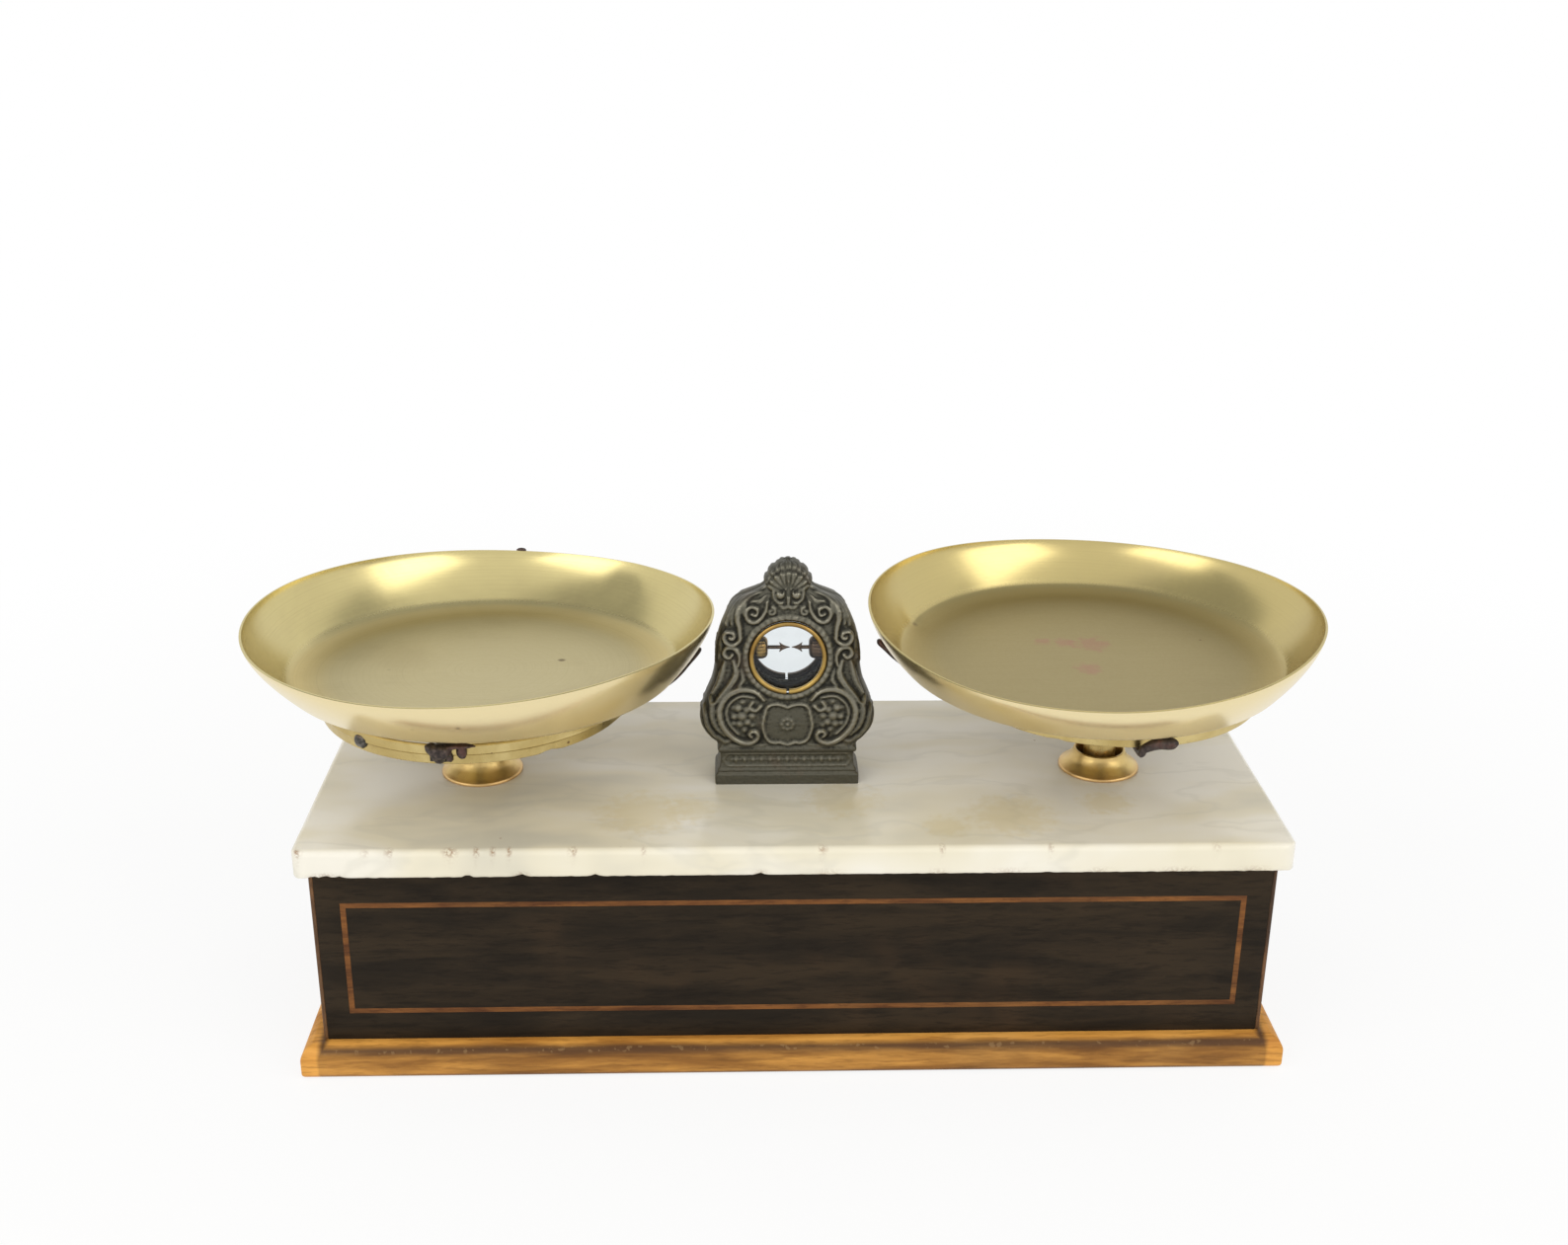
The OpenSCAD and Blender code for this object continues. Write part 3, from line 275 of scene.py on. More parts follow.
# Pan brass: circles from spinning it, a scuffed floor; painted reflection: a brighter ring where wall and floor
# meet, and a paler outside
# outside: painted reflection, the paler colour painted on faces turned downwards, the outer wall and underside
panTints = {"clouds": (0.42, 0.34, 0.17), "circles": (0.38, 0.30, 0.14), "outside": (0.86, 0.73, 0.43),
            "specks": (0.24, 0.15, 0.07), "pink": (0.52, 0.15, 0.19), "spots": (0.12, 0.07, 0.03)}
panLooks = {
    # ring: the colour of the painted reflection laid round the foot of the wall
    "leftPanBrass": {"centre": (-0.1299, 0.0011, 0.0), "floor": (0.63, 0.55, 0.315), "ring": (0.86, 0.68, 0.28),
                     "wall": (0.62, 0.53, 0.25), "pink": [],
                     "spots": [(-0.1699, 0.0004, 0.1524, 0.0018), (-0.0986, 0.0135, 0.1524, 0.0022),
                               (-0.1448, -0.0865, 0.1671, 0.0013), (-0.1276, -0.0885, 0.1683, 0.0016)]},
    "rightPanBrass": {"centre": (0.1263, 0.0010, 0.0), "floor": (0.45, 0.37, 0.18), "ring": (0.60, 0.46, 0.17),
                      "wall": (0.56, 0.46, 0.20),
                      "pink": [(0.1296, 0.0164, 0.157, 0.010), (0.118, 0.0185, 0.157, 0.006),
                               (0.109, 0.019, 0.157, 0.005), (0.1238, -0.0097, 0.157, 0.007)],
                      # the last two spots are a painted shadow of the bent claw on the pan's front wall
                      "spots": [(0.0543, 0.0356, 0.158, 0.0028), (0.178, 0.02, 0.157, 0.0009),
                                (0.163, -0.083, 0.166, 0.0014), (0.171, -0.08, 0.164, 0.0012)]},
}


def makePanBrass(name, look):
    tree, place = newFinish(name, Metallic=1.0)
    patina = useGroup(tree, patinaGroup, {"Vector": place, "Cloud Scale": 22.0, "Fine Scale": 700.0,
                                          "Speck Size": 0.035, "Speck Scale": 120.0})
    turning = useGroup(tree, turningGroup, {"Vector": vectorNode(tree, "SUBTRACT", place, look["centre"])})
    radius, circles = turning["Radius"], turning["Circles"]
    onWall = stepRange(tree, radius, 0.076, 0.083)
    base = mixColours(tree, onWall, look["floor"], look["wall"])
    base = paintOver(tree, base, panTints["clouds"], patina["Clouds"], 0.45, 0.75, 0.0, 0.25)
    # painted reflection: a brighter band painted round the foot of the wall, where the floor meets it
    paintedRingReflection = mathNode(tree, "MULTIPLY", stepRange(tree, radius, 0.060, 0.076),
                        stepRange(tree, radius, 0.077, 0.082, 1.0, 0.0))
    base = mixColours(tree, mathNode(tree, "MULTIPLY", paintedRingReflection, 0.45), base, look["ring"])
    base = paintOver(tree, base, panTints["circles"], circles, 0.45, 0.75, 0.0, 0.12)
    # painted reflection: faces turned downwards, the outside of the wall, are painted paler
    upwardForPaintedReflection = axesOf(tree, addNode(tree, "ShaderNodeNewGeometry").outputs["Normal"])["Z"]
    base = paintOver(tree, base, panTints["outside"], upwardForPaintedReflection, -0.1, 0.05, 1.0, 0.0)
    base = mixColours(tree, patina["Specks"], base, panTints["specks"])
    base = addStains(tree, place, base, look["pink"], panTints["pink"], 1.6, 0.27)
    # dark spots; on the right pan two of them are a painted shadow of the bent claw
    base = addStains(tree, place, base, look["spots"], panTints["spots"], 0.6, 0.7)
    scuffs = mathNode(tree, "ADD", mathNode(tree, "MULTIPLY", patina["Mottle"], 0.5),
                      mathNode(tree, "MULTIPLY", turning["Scratches"], 0.5))
    rough = addNode(tree, "ShaderNodeMix", {0: onWall, 2: stepRange(tree, scuffs, 0.35, 0.65, 0.4, 0.48),
                                            3: stepRange(tree, scuffs, 0.35, 0.65, 0.22, 0.27)})
    finishShader(tree, base, rough.outputs[0], mathNode(tree, "ADD", circles, scuffs), 0.1, 0.00003)


# Wood: dark veneer of the case, golden base, orange lines, and the plain blocks inside
woodLooks = {
    "darkVeneer": {"light": (0.033, 0.022, 0.012), "dark": (0.015, 0.011, 0.007), "worn": (0.062, 0.036, 0.018),
                   "stretch": (14.0, 40.0, 90.0), "wear": (0.55, 0.75), "rough": (0.5, 0.62), "gloss": 0.11},
    "wornEdge": {"light": (0.16, 0.080, 0.034), "dark": (0.03, 0.018, 0.012), "worn": (0.36, 0.17, 0.07),
                 "stretch": (150.0, 150.0, 22.0), "wear": (0.5, 0.66), "rough": (0.5, 0.65), "gloss": 0.25},
    "goldenWalnut": {"light": (0.80, 0.39, 0.080), "dark": (0.49, 0.205, 0.035), "worn": (0.80, 0.43, 0.12),
                     "stretch": (12.0, 90.0, 120.0), "wear": (0.5, 0.75), "rough": (0.4, 0.55), "gloss": 0.2,
                     "foot": {"half": (0.1952, 0.0700), "reach": 0.0032, "colour": (0.05, 0.022, 0.010),
                              "fleck": (0.34, 0.21, 0.09)}},
    "orangeLine": {"light": (0.22, 0.085, 0.020), "dark": (0.085, 0.030, 0.009), "worn": (0.27, 0.125, 0.036),
                   "stretch": (30.0, 200.0, 200.0), "wear": (0.5, 0.75), "rough": (0.45, 0.6), "gloss": 0.2},
    "plainPine": {"light": (0.52, 0.36, 0.19), "dark": (0.36, 0.22, 0.1), "worn": (0.55, 0.42, 0.25),
                  "stretch": (130.0, 130.0, 9.0), "wear": (0.5, 0.8), "rough": (0.6, 0.75), "gloss": 0.4},
}
woodLooks["darkVeneerEnd"] = {**woodLooks["darkVeneer"], "stretch": (40.0, 14.0, 90.0)}  # grain along Y


# Old glue and dirt along the foot of the case, with pale flecks where it has broken away
def addFootDirt(tree, place, base, foot, noiseField):
    axes = axesOf(tree, vectorNode(tree, "ABSOLUTE", place))
    halfX, halfY = foot["half"]
    away = mathNode(tree, "ABSOLUTE", mathNode(tree, "MAXIMUM", mathNode(tree, "SUBTRACT", axes["X"], halfX),
                                               mathNode(tree, "SUBTRACT", axes["Y"], halfY)))
    uneven = mathNode(tree, "MULTIPLY", mathNode(tree, "SUBTRACT", noiseField, 0.5), foot["reach"])
    base = paintOver(tree, base, foot["colour"], mathNode(tree, "ADD", away, uneven), 0.0, foot["reach"], 0.9, 0.0)
    flecks = stepRange(tree, addNoise(tree, place, 420.0, 2.0), 0.6, 0.66, 0.0, 0.35)
    near = stepRange(tree, away, 0.0004, 0.0011, 1.0, 0.0)
    return mixColours(tree, mathNode(tree, "MULTIPLY", near, flecks), base, foot["fleck"])


def makeWood(name, look):
    tree, place = newFinish(name, Specular_IOR_Level=look["gloss"])
    grain = useGroup(tree, grainGroup, {"Vector": place, "Stretch": look["stretch"]})
    streaks, pores = grain["Streaks"], grain["Pores"]
    base = paintOver(tree, look["dark"], look["light"], streaks, 0.34, 0.68)
    base = paintOver(tree, base, look["worn"], grain["Clouds"], *look["wear"], 0.0, 0.45)
    inPores = tuple(0.5 * part for part in look["dark"])
    base = mixColours(tree, mathNode(tree, "MULTIPLY", pores, 0.4), base, inPores)
    if "foot" in look:
        base = addFootDirt(tree, place, base, look["foot"], streaks)
    smooth, dull = look["rough"]
    finishShader(tree, base, stepRange(tree, streaks, 0.3, 0.7, dull, smooth),
                 mathNode(tree, "SUBTRACT", streaks, pores), 0.3, 0.0001)


# Marble: cream ground, soft grey clouds along the slab, a few yellow tints and thin veins
marbleLook = {"cream": (0.76, 0.71, 0.56), "white": (0.82, 0.79, 0.70), "grey": (0.55, 0.53, 0.45),
              "yellow": (0.66, 0.54, 0.25), "brown": (0.26, 0.12, 0.04),
              "tints": [(-0.062, -0.042, 0.107, 0.024), (-0.044, -0.038, 0.107, 0.014), (0.02, -0.03, 0.107, 0.02),
                        (0.088, -0.045, 0.107, 0.022), (0.130, -0.035, 0.107, 0.014), (0.06, -0.055, 0.107, 0.012)]}


def makeMarble(look):
    tree, place = newFinish("creamMarble")
    warp = addNode(tree, "ShaderNodeTexNoise", {"Vector": place, "Scale": 9.0, "Detail": 3.0}).outputs["Color"]
    push = addNode(tree, "ShaderNodeVectorMath", {0: warp, "Scale": 0.05}, operation="SCALE").outputs[0]
    laid = addNode(tree, "ShaderNodeMapping", {"Vector": vectorNode(tree, "ADD", place, push),
                                               "Rotation": (0.0, 0.0, 0.5), "Scale": (9.0, 24.0, 16.0)}).outputs[0]
    clouds = addNoise(tree, laid, 1.0, 3.0)
    base = paintOver(tree, look["white"], look["cream"], clouds, 0.40, 0.58)
    base = paintOver(tree, base, look["grey"], clouds, 0.54, 0.72, 0.0, 0.7)
    veins = mathNode(tree, "ABSOLUTE", mathNode(tree, "SUBTRACT", addNoise(tree, laid, 1.3, 4.0), 0.5))
    base = paintOver(tree, base, look["grey"], veins, 0.0, 0.035, 0.22, 0.0)
    base = addStains(tree, place, base, look["tints"], look["yellow"], 1.2, 0.35)
    patina = useGroup(tree, patinaGroup, {"Vector": place, "Speck Scale": 60.0, "Speck Size": 0.07})
    base = mixColours(tree, mathNode(tree, "MULTIPLY", patina["Specks"], 0.6), base, look["brown"])
    grit = addNoise(tree, place, 900.0, 3.0)
    chipped = addNode(tree, "ShaderNodeAttribute", attribute_name="chipped").outputs["Fac"]
    dirt = mathNode(tree, "MULTIPLY", chipped, stepRange(tree, grit, 0.35, 0.6), clamp=True)
    base = mixColours(tree, dirt, base, look["brown"])
    finishShader(tree, base, stepRange(tree, clouds, 0.3, 0.7, 0.14, 0.26), grit, 0.06, 0.00005)


# Pewter of the housing: dull dark grey, darker in the recesses, worn bright on the ridges
pewterLook = {"ridge": (0.235, 0.22, 0.17), "mid": (0.105, 0.10, 0.076), "recess": (0.025, 0.024, 0.019),
              "tint": (0.125, 0.092, 0.065)}


def makePewter(look):
    tree, place = newFinish("darkPewter", Metallic=0.85)
    patina = useGroup(tree, patinaGroup, {"Vector": place, "Cloud Scale": 60.0, "Fine Scale": 1300.0})
    relief = addNode(tree, "ShaderNodeAttribute", attribute_name="relief").outputs["Fac"]
    uneven = mathNode(tree, "MULTIPLY", mathNode(tree, "SUBTRACT", patina["Mottle"], 0.5), 0.5)
    broken = mathNode(tree, "ADD", relief, uneven)
    base = paintOver(tree, look["recess"], look["mid"], broken, 0.05, 0.42)
    base = paintOver(tree, base, look["ridge"], broken, 0.5, 1.0, 0.0, 0.9)
    base = paintOver(tree, base, look["tint"], patina["Clouds"], 0.5, 0.75, 0.0, 0.45)
    finishShader(tree, base, stepRange(tree, broken, 0.1, 1.0, 0.55, 0.3), patina["Mottle"], 0.5, 0.00012)


# Iron, solder and steel: one maker with the values of each
metalLooks = {
    "blackIron": {"pale": (0.085, 0.062, 0.052), "dark": (0.028, 0.021, 0.019), "rust": (0.13, 0.06, 0.045),
                  "metallic": 0.6, "rough": (0.3, 0.55), "bump": 0.0003},
    "greySolder": {"pale": (0.16, 0.145, 0.125), "dark": (0.04, 0.038, 0.032), "rust": (0.20, 0.12, 0.08),
                   "metallic": 0.7, "rough": (0.3, 0.5), "bump": 0.00025},
    "greySteel": {"pale": (0.34, 0.34, 0.33), "dark": (0.17, 0.165, 0.16), "rust": (0.16, 0.09, 0.05),
                  "metallic": 1.0, "rough": (0.3, 0.45), "bump": 0.0001},
    # painted shade: the inside of the housing, painted near black where shade falls inside the case
    "housingInside": {"pale": (0.010, 0.015, 0.011), "dark": (0.004, 0.006, 0.005), "rust": (0.016, 0.013, 0.009),
                      "metallic": 0.6, "rough": (0.7, 0.85), "bump": 0.0001},
}


def makeRoughMetal(name, look):
    tree, place = newFinish(name, Metallic=look["metallic"])
    patina = useGroup(tree, patinaGroup, {"Vector": place, "Cloud Scale": 120.0, "Fine Scale": 600.0})
    mottle = patina["Mottle"]
    base = paintOver(tree, look["dark"], look["pale"], mottle, 0.35, 0.7)
    base = paintOver(tree, base, look["rust"], patina["Clouds"], 0.52, 0.72, 0.0, 0.7)
    smooth, dull = look["rough"]
    finishShader(tree, base, stepRange(tree, mottle, 0.3, 0.7, dull, smooth), mottle, 0.5, look["bump"])


glassColour = (0.90, 0.925, 0.935)
leatherLook = {"dark": (0.20, 0.09, 0.045), "worn": (0.33, 0.19, 0.1)}


def makeGlass(colour):
    tree, place = newFinish("thinGlass", IOR=1.3, Transmission_Weight=1.0)
    smear = addNoise(tree, place, 70.0, 4.0, 0.6)
    finishShader(tree, colour, stepRange(tree, smear, 0.45, 0.75, 0.01, 0.09))


def makeLeather(look):
    tree, place = newFinish("padLeather")
    cells = addNode(tree, "ShaderNodeTexVoronoi", {"Vector": place, "Scale": 900.0}, feature="DISTANCE_TO_EDGE")
    wear = addNoise(tree, place, 120.0, 4.0)
    base = paintOver(tree, look["dark"], look["worn"], wear, 0.35, 0.7)
    finishShader(tree, base, stepRange(tree, wear, 0.3, 0.7, 0.8, 0.6), cells.outputs["Distance"], 0.5, 0.0002)


for maker, looks in ((makeBrass, brassAges), (makeWood, woodLooks), (makeRoughMetal, metalLooks),
                     (makePanBrass, panLooks)):
    for name, look in looks.items():
        maker(name, look)
makeMarble(marbleLook)
makePewter(pewterLook)
makeGlass(glassColour)
makeLeather(leatherLook)
finishOfSlot = {"dark_wood": "darkVeneer", "golden_wood": "goldenWalnut", "light_wood": "orangeLine",
                "plain_wood": "plainPine", "marble": "creamMarble", "pewter": "darkPewter",
                "brass": "satinBrass", "dark_brass": "brownBrass", "iron": "blackIron", "steel": "greySteel",
                "glass": "thinGlass", "leather": "padLeather"}
ownFinish = {"left_panel": "darkVeneerEnd", "right_panel": "darkVeneerEnd", "corner_strips": "wornEdge",
             # painted light: the left knob takes the brighter gilded brass as a lit copy of the knob brass
             "front_bezel": "gildedBrass", "back_bezel": "brownBrass", "left_knob": "gildedBrass",
             "left_arrow": "brownBrass"}


def finishOf(node):
    return finishes[ownFinish.get(node, finishOfSlot[slotOf[node]])]


for node, part in frame["nodes"].items():
    part.data.materials.clear()
    part.data.materials.append(finishOf(node))
print("materials made:", len(finishes))


# Pieces: a finished bmesh becomes an object that rides on its body
def addPiece(name, shape, nodes, material=None, smoothBelow=35.0):
    mesh = bpy.data.meshes.new(name)
    shape.to_mesh(mesh)
    shape.free()
    mesh.materials.append(material or finishOf(nodes[0]))
    mesh.shade_smooth()
    mesh.set_sharp_from_angle(angle=math.radians(smoothBelow))
    piece = bpy.data.objects.new(name, mesh)
    bpy.context.scene.collection.objects.link(piece)
    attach(piece, bodyOf[nodes[0]])
    return piece


def easeEdges(shape, edges, width):
    bmesh.ops.bevel(shape, geom=edges, offset=width * mm, offset_type="OFFSET", segments=2,
                    profile=0.5, affect="EDGES", clamp_overlap=True, material=-1)


def softShape(node, width):
    shape = bmesh.new()
    shape.from_mesh(frame["nodes"][node].data)
    bmesh.ops.remove_doubles(shape, verts=shape.verts, dist=2e-6)
    bmesh.ops.dissolve_limit(shape, angle_limit=math.radians(0.6), verts=shape.verts, edges=shape.edges)
    easeEdges(shape, [edge for edge in shape.edges
                      if edge.is_manifold and edge.calc_face_angle(0.0) > math.radians(28.0)], width)
    return shape


def softenNode(node, width):
    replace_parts(addPiece("soft_" + node, softShape(node, width), [node]), node)


def cutAcross(shape, place, way):
    bmesh.ops.bisect_plane(shape, geom=shape.verts[:] + shape.edges[:] + shape.faces[:], dist=1e-7,
                           plane_co=place, plane_no=way)


# Hard-edged parts of the case, the front bezel and the stems, with their edges eased, width in millimetres
easedEdges = {"front_panel": 0.5, "back_panel": 0.5, "left_panel": 0.5, "right_panel": 0.5,
              "corner_strips": 0.6, "front_stringing": 0.12, "front_bezel": 0.25,
              "left_stem": 0.3, "right_stem": 0.3}
for node, width in easedEdges.items():
    softenNode(node, width)
print("edges eased:", len(easedEdges))


# Spun pieces: a profile of (radius, height) in millimetres turned round an upright axis
def bendLine(points, steps):
    line = []
    ends = [points[0], *points, points[-1]]
    for p0, p1, p2, p3 in zip(ends, ends[1:], ends[2:], ends[3:]):
        for k in range(steps):
            t = k / steps
            line.append(tuple(0.5 * (2 * b + (c - a) * t + (2 * a - 5 * b + 4 * c - d) * t * t
                                     + (3 * b - a - 3 * c + d) * t ** 3) for a, b, c, d in zip(p0, p1, p2, p3)))
    return line + [points[-1]]


def spinShape(profile, centre, steps, closed=False):
    shape = bmesh.new()
    points = [shape.verts.new((radius * mm, 0.0, height * mm)) for radius, height in profile]
    edges = [shape.edges.new(pair) for pair in zip(points, points[1:])]
    if closed:
        edges.append(shape.edges.new((points[-1], points[0])))
    bmesh.ops.spin(shape, geom=points + edges, cent=(0, 0, 0), axis=(0, 0, 1), dvec=(0, 0, 0),
                   angle=math.tau, steps=steps, use_merge=True)
    bmesh.ops.remove_doubles(shape, verts=shape.verts, dist=1e-6)
    bmesh.ops.recalc_face_normals(shape, faces=shape.faces)
    bmesh.ops.translate(shape, verts=shape.verts, vec=Vector(centre) * mm)
    return shape


# Collars: a foot bead, a hollow sweep and an open mouth round the stem
collarLook = {"foot": 17.2, "mouth": 10.9, "bore": 9.7, "height": 8.6, "bead": 1.5, "neck": 10.9, "deep": 9.0}


def makeCollar(side, look, node):
    foot, mouth, bore, top, bead = (look[key] for key in ("foot", "mouth", "bore", "height", "bead"))
    outside = [(foot - 0.5, 0.0), (foot, 0.35), (foot, bead * 0.6), (foot - 0.35, bead)]
    sweep = bendLine([(foot - 0.6, bead + 0.15), (foot - 2.2, bead + 1.3), (foot - 4.2, bead + 3.1),
                      (mouth + 0.75, top - 2.0), (mouth + 0.15, top - 0.5)], 4)
    lip = [(mouth, top - 0.1), (mouth - 0.35, top + 0.1), (mouth - 0.8, top), (bore, top - 1.2)]
    inside = [(bore, -look["deep"]), (look["neck"], -look["deep"]), (look["neck"], 0.0)]
    shape = spinShape(outside + sweep + lip + inside, (stemX * side, 0.0, slabTop), 96, closed=True)
    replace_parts(addPiece(node + "_turned", shape, [node], finishes["collarBrass"]), node)


# Rings: a thin band with a raised line round its middle
ringLook = {"low": 64.5, "top": 65.5, "wall": 1.2, "height": 8.5, "left": 141.05, "right": 146.35,
            "chips": {"left_ring": [(-56.7, 3.0, 1.0)], "right_ring": [(-118.0, 2.0, 0.5)]}}


def makeRing(side, level, node):
    low, top, wall, height = (ringLook[key] for key in ("low", "top", "wall", "height"))
    mid = (low + top) / 2
    outside = [(low - 0.3, 0.0), (low, 0.3), (mid - 0.15, height * 0.45), (mid + 0.25, height * 0.49),
               (mid + 0.45, height * 0.54), (mid + 0.3, height * 0.6), (top, height - 0.5), (top - 0.35, height)]
    inside = [(top - wall, height), (low - wall, 0.0)]
    shape = spinShape(outside + inside, (stemX * side, 0.0, level), 160, closed=True)
    for vert in shape.verts:
        outward = Vector((vert.co.x - stemX * side * mm, vert.co.y, 0.0)).normalized()
        vert.co += outward * noise.noise(vert.co * 14.0) * 0.5 * mm
        for angle, width, rise in ringLook["chips"][node]:  # nicks in the lower edge
            off = (math.degrees(math.atan2(outward.y, outward.x)) - angle) / width
            if vert.co.z < (level + 1.0) * mm:
                vert.co.z += rise * math.exp(-off * off) * mm
    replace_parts(addPiece(node + "_band", shape, [node], finishes["ringBrass"]), node)


for side, name in sides:
    makeCollar(side, collarLook, name + "_collar")
for side, name in sides:
    makeRing(side, ringLook[name], name + "_ring")
print("collars and rings turned")


# Pans: thin sheet, flat floor, bowed wall; each is tilted and a little out of round
panShape = {"floor": 78.5, "wall": 1.0, "bow": 1.38, "corner": 9.5}
panPlace = {  # the saddle and the oval are each an amount and its direction in degrees
    "left": {"rim": 96.9, "height": 24.7, "centre": (-129.9, 1.1, 152.2), "backDown": 1.91, "rightUp": -0.68,
             "saddle": (2.1, -21.0), "oval": (0.0207, 50.0),
             "dents": [(-169.9, 0.4, 3.0, -0.35), (-98.6, 13.5, 4.0, -0.45), (-75.0, 74.0, 6.0, 0.7)]},
    "right": {"rim": 94.75, "height": 22.6, "centre": (126.3, 1.0, 156.1), "backDown": -1.08, "rightUp": 0.0,
              "saddle": (2.8, -18.0), "oval": (0.0105, 40.0),
              "dents": [(54.3, 35.6, 5.0, -0.8), (150.0, 30.0, 9.0, -0.3)]},
}


def panProfile(look, rim, height):
    floor, wall, bow, corner = (look[key] for key in ("floor", "wall", "bow", "corner"))
    run = [(floor - corner, 0.0), (floor - corner * 0.55, 0.25), (floor - corner * 0.17, 1.0),
           (floor + 1.7, 2.25)]
    for k in range(2, 15):
        t = k / 14
        run.append((floor + (rim - floor) * (1 - (1 - t) ** bow), height * t))
    outside = bendLine(run, 2)
    inside = []
    for k, (radius, level) in enumerate(outside):
        before, after = outside[max(k - 1, 0)], outside[min(k + 1, len(outside) - 1)]
        way = Vector((after[0] - before[0], after[1] - before[1])).normalized()
        inside.append((radius - way.y * wall, level + way.x * wall))
    crown = [(rim - wall * 0.25, height + wall * 0.22), (rim - wall * 0.75, height + wall * 0.22)]
    floorOut = [(radius, 0.0) for radius in (0.0, 12.0, 24.0, 36.0, 48.0, 58.0)]
    floorIn = [(radius, wall) for radius, level in floorOut[::-1]]
    return floorOut + outside + crown + inside[::-1] + floorIn


def makePan(side, place, node, finish):
    shape = spinShape(panProfile(panShape, place["rim"], place["height"]), (0.0, 0.0, 0.0), 176)
    tilt = Matrix.Rotation(-math.radians(place["backDown"]), 3, "X") @ \
        Matrix.Rotation(-math.radians(place["rightUp"]), 3, "Y")
    (saddle, saddleTurn), (oval, ovalTurn) = place["saddle"], place["oval"]
    for vert in shape.verts:
        angle = math.degrees(math.atan2(vert.co.y, vert.co.x))
        share = max(0.0, vert.co.z / (place["height"] * mm))
        flat = Vector((vert.co.x, vert.co.y, 0.0))
        out = flat.normalized()
        wide = oval * math.cos(math.radians(2 * (angle - ovalTurn))) * flat.length
        vert.co += out * (wide + 0.2 * noise.noise(out * 2.2 + Vector((side, 0.0, 0.0))) * mm) * share
        vert.co.z += (saddle * math.cos(math.radians(2 * (angle - saddleTurn)))
                      + 0.3 * noise.noise(out * 1.7 + Vector((0.0, side * 3.0, 0.0)))) * share * mm
        vert.co = tilt @ vert.co + Vector(place["centre"]) * mm
        for x, y, width, depth in place["dents"]:
            off = Vector((vert.co.x - x * mm, vert.co.y - y * mm)).length / (width * mm)
            if off < 3.0:
                vert.co.z += depth * math.exp(-off * off) * mm
    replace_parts(addPiece(node + "_spun", shape, [node], finishes[finish]), node)


for side, name in sides:
    makePan(side, panPlace[name], name + "_pan", name + "PanBrass")
print("pans spun")


# Knobs and arrows: their points meet in the window, distances from the meeting point in millimetres
meetingPoint = (-1.2, -5.6, 165.8)
knobLook = {"radius": 4.8, "bore": 0.85, "end": 16.1, "face": {"left_knob": 9.6, "right_knob": 7.6},
            "grooves": 16, "grooveDepth": 0.25}
arrowLook = {"gap": 0.35, "thick": 1.0, "shank": 0.8, "shankFrom": 3.7, "end": 21.5, "ease": 0.12,
             "head": [(0.0, 0.0), (1.5, 0.42), (2.9, 1.0), (4.5, 2.15), (4.15, 1.1), (3.9, 0.6)]}


def makeKnob(side, look, node):
    face, end, radius, bore = look["face"][node], look["end"], look["radius"], look["bore"]
    crown = [(bore, 0.45), (1.5, 0.12), (2.7, 0.0), (3.7, 0.4), (4.4, 1.15), (radius, 2.5)]
    long = end - face
    outside = bendLine([(r, face + s) for r, s in crown] + [(r, face + long - s) for r, s in crown[::-1]], 3)
    shape = spinShape(outside, (0.0, 0.0, 0.0), 128, closed=True)
    for vert in shape.verts:
        flat = Vector((vert.co.x, vert.co.y, 0.0))
        angle = math.atan2(vert.co.y, vert.co.x)
        groove = max(0.0, math.cos(look["grooves"] * angle)) ** 4 * min(1.0, max(0.0, flat.length / mm - 3.9))
        vert.co -= flat.normalized() * groove * look["grooveDepth"] * mm
    bmesh.ops.rotate(shape, verts=shape.verts, matrix=Matrix.Rotation(math.radians(90.0 * side), 3, "Y"))
    bmesh.ops.translate(shape, verts=shape.verts, vec=Vector(meetingPoint) * mm)
    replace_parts(addPiece(node + "_turned", shape, [node]), node)


def makeArrow(side, look, node):
    shape = bmesh.new()
    rim = look["head"] + [(out, -up) for out, up in look["head"][:0:-1]]
    corners = [shape.verts.new(((look["gap"] + out) * mm, -look["thick"] / 2 * mm, up * mm)) for out, up in rim]
    face = bmesh.ops.contextual_create(shape, geom=corners)["faces"]
    grown = bmesh.ops.extrude_face_region(shape, geom=face)
    bmesh.ops.translate(shape, vec=(0.0, look["thick"] * mm, 0.0),
                        verts=[part for part in grown["geom"] if isinstance(part, bmesh.types.BMVert)])
    bmesh.ops.recalc_face_normals(shape, faces=shape.faces)
    easeEdges(shape, shape.edges[:], look["ease"])
    start, end = look["gap"] + look["shankFrom"], look["end"]
    made = bmesh.ops.create_cone(shape, cap_ends=True, segments=24, radius1=look["shank"] * mm,
                                 radius2=look["shank"] * mm, depth=(end - start) * mm,
                                 matrix=Matrix.Translation(((start + end) / 2 * mm, 0.0, 0.0))
                                 @ Matrix.Rotation(math.radians(90.0), 4, "Y"))
    ends = {edge for vert in made["verts"] for edge in vert.link_edges
            if abs(edge.verts[0].co.x - edge.verts[1].co.x) < 1e-6}
    easeEdges(shape, list(ends), look["ease"])
    if side < 0:
        bmesh.ops.rotate(shape, verts=shape.verts, matrix=Matrix.Rotation(math.radians(180.0), 3, "Z"))
    bmesh.ops.translate(shape, verts=shape.verts, vec=Vector(meetingPoint) * mm)
    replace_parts(addPiece(node + "_filed", shape, [node]), node)


for side, name in sides:
    makeKnob(side, knobLook, name + "_knob")
    makeArrow(side, arrowLook, name + "_arrow")
print("knobs and arrows made")


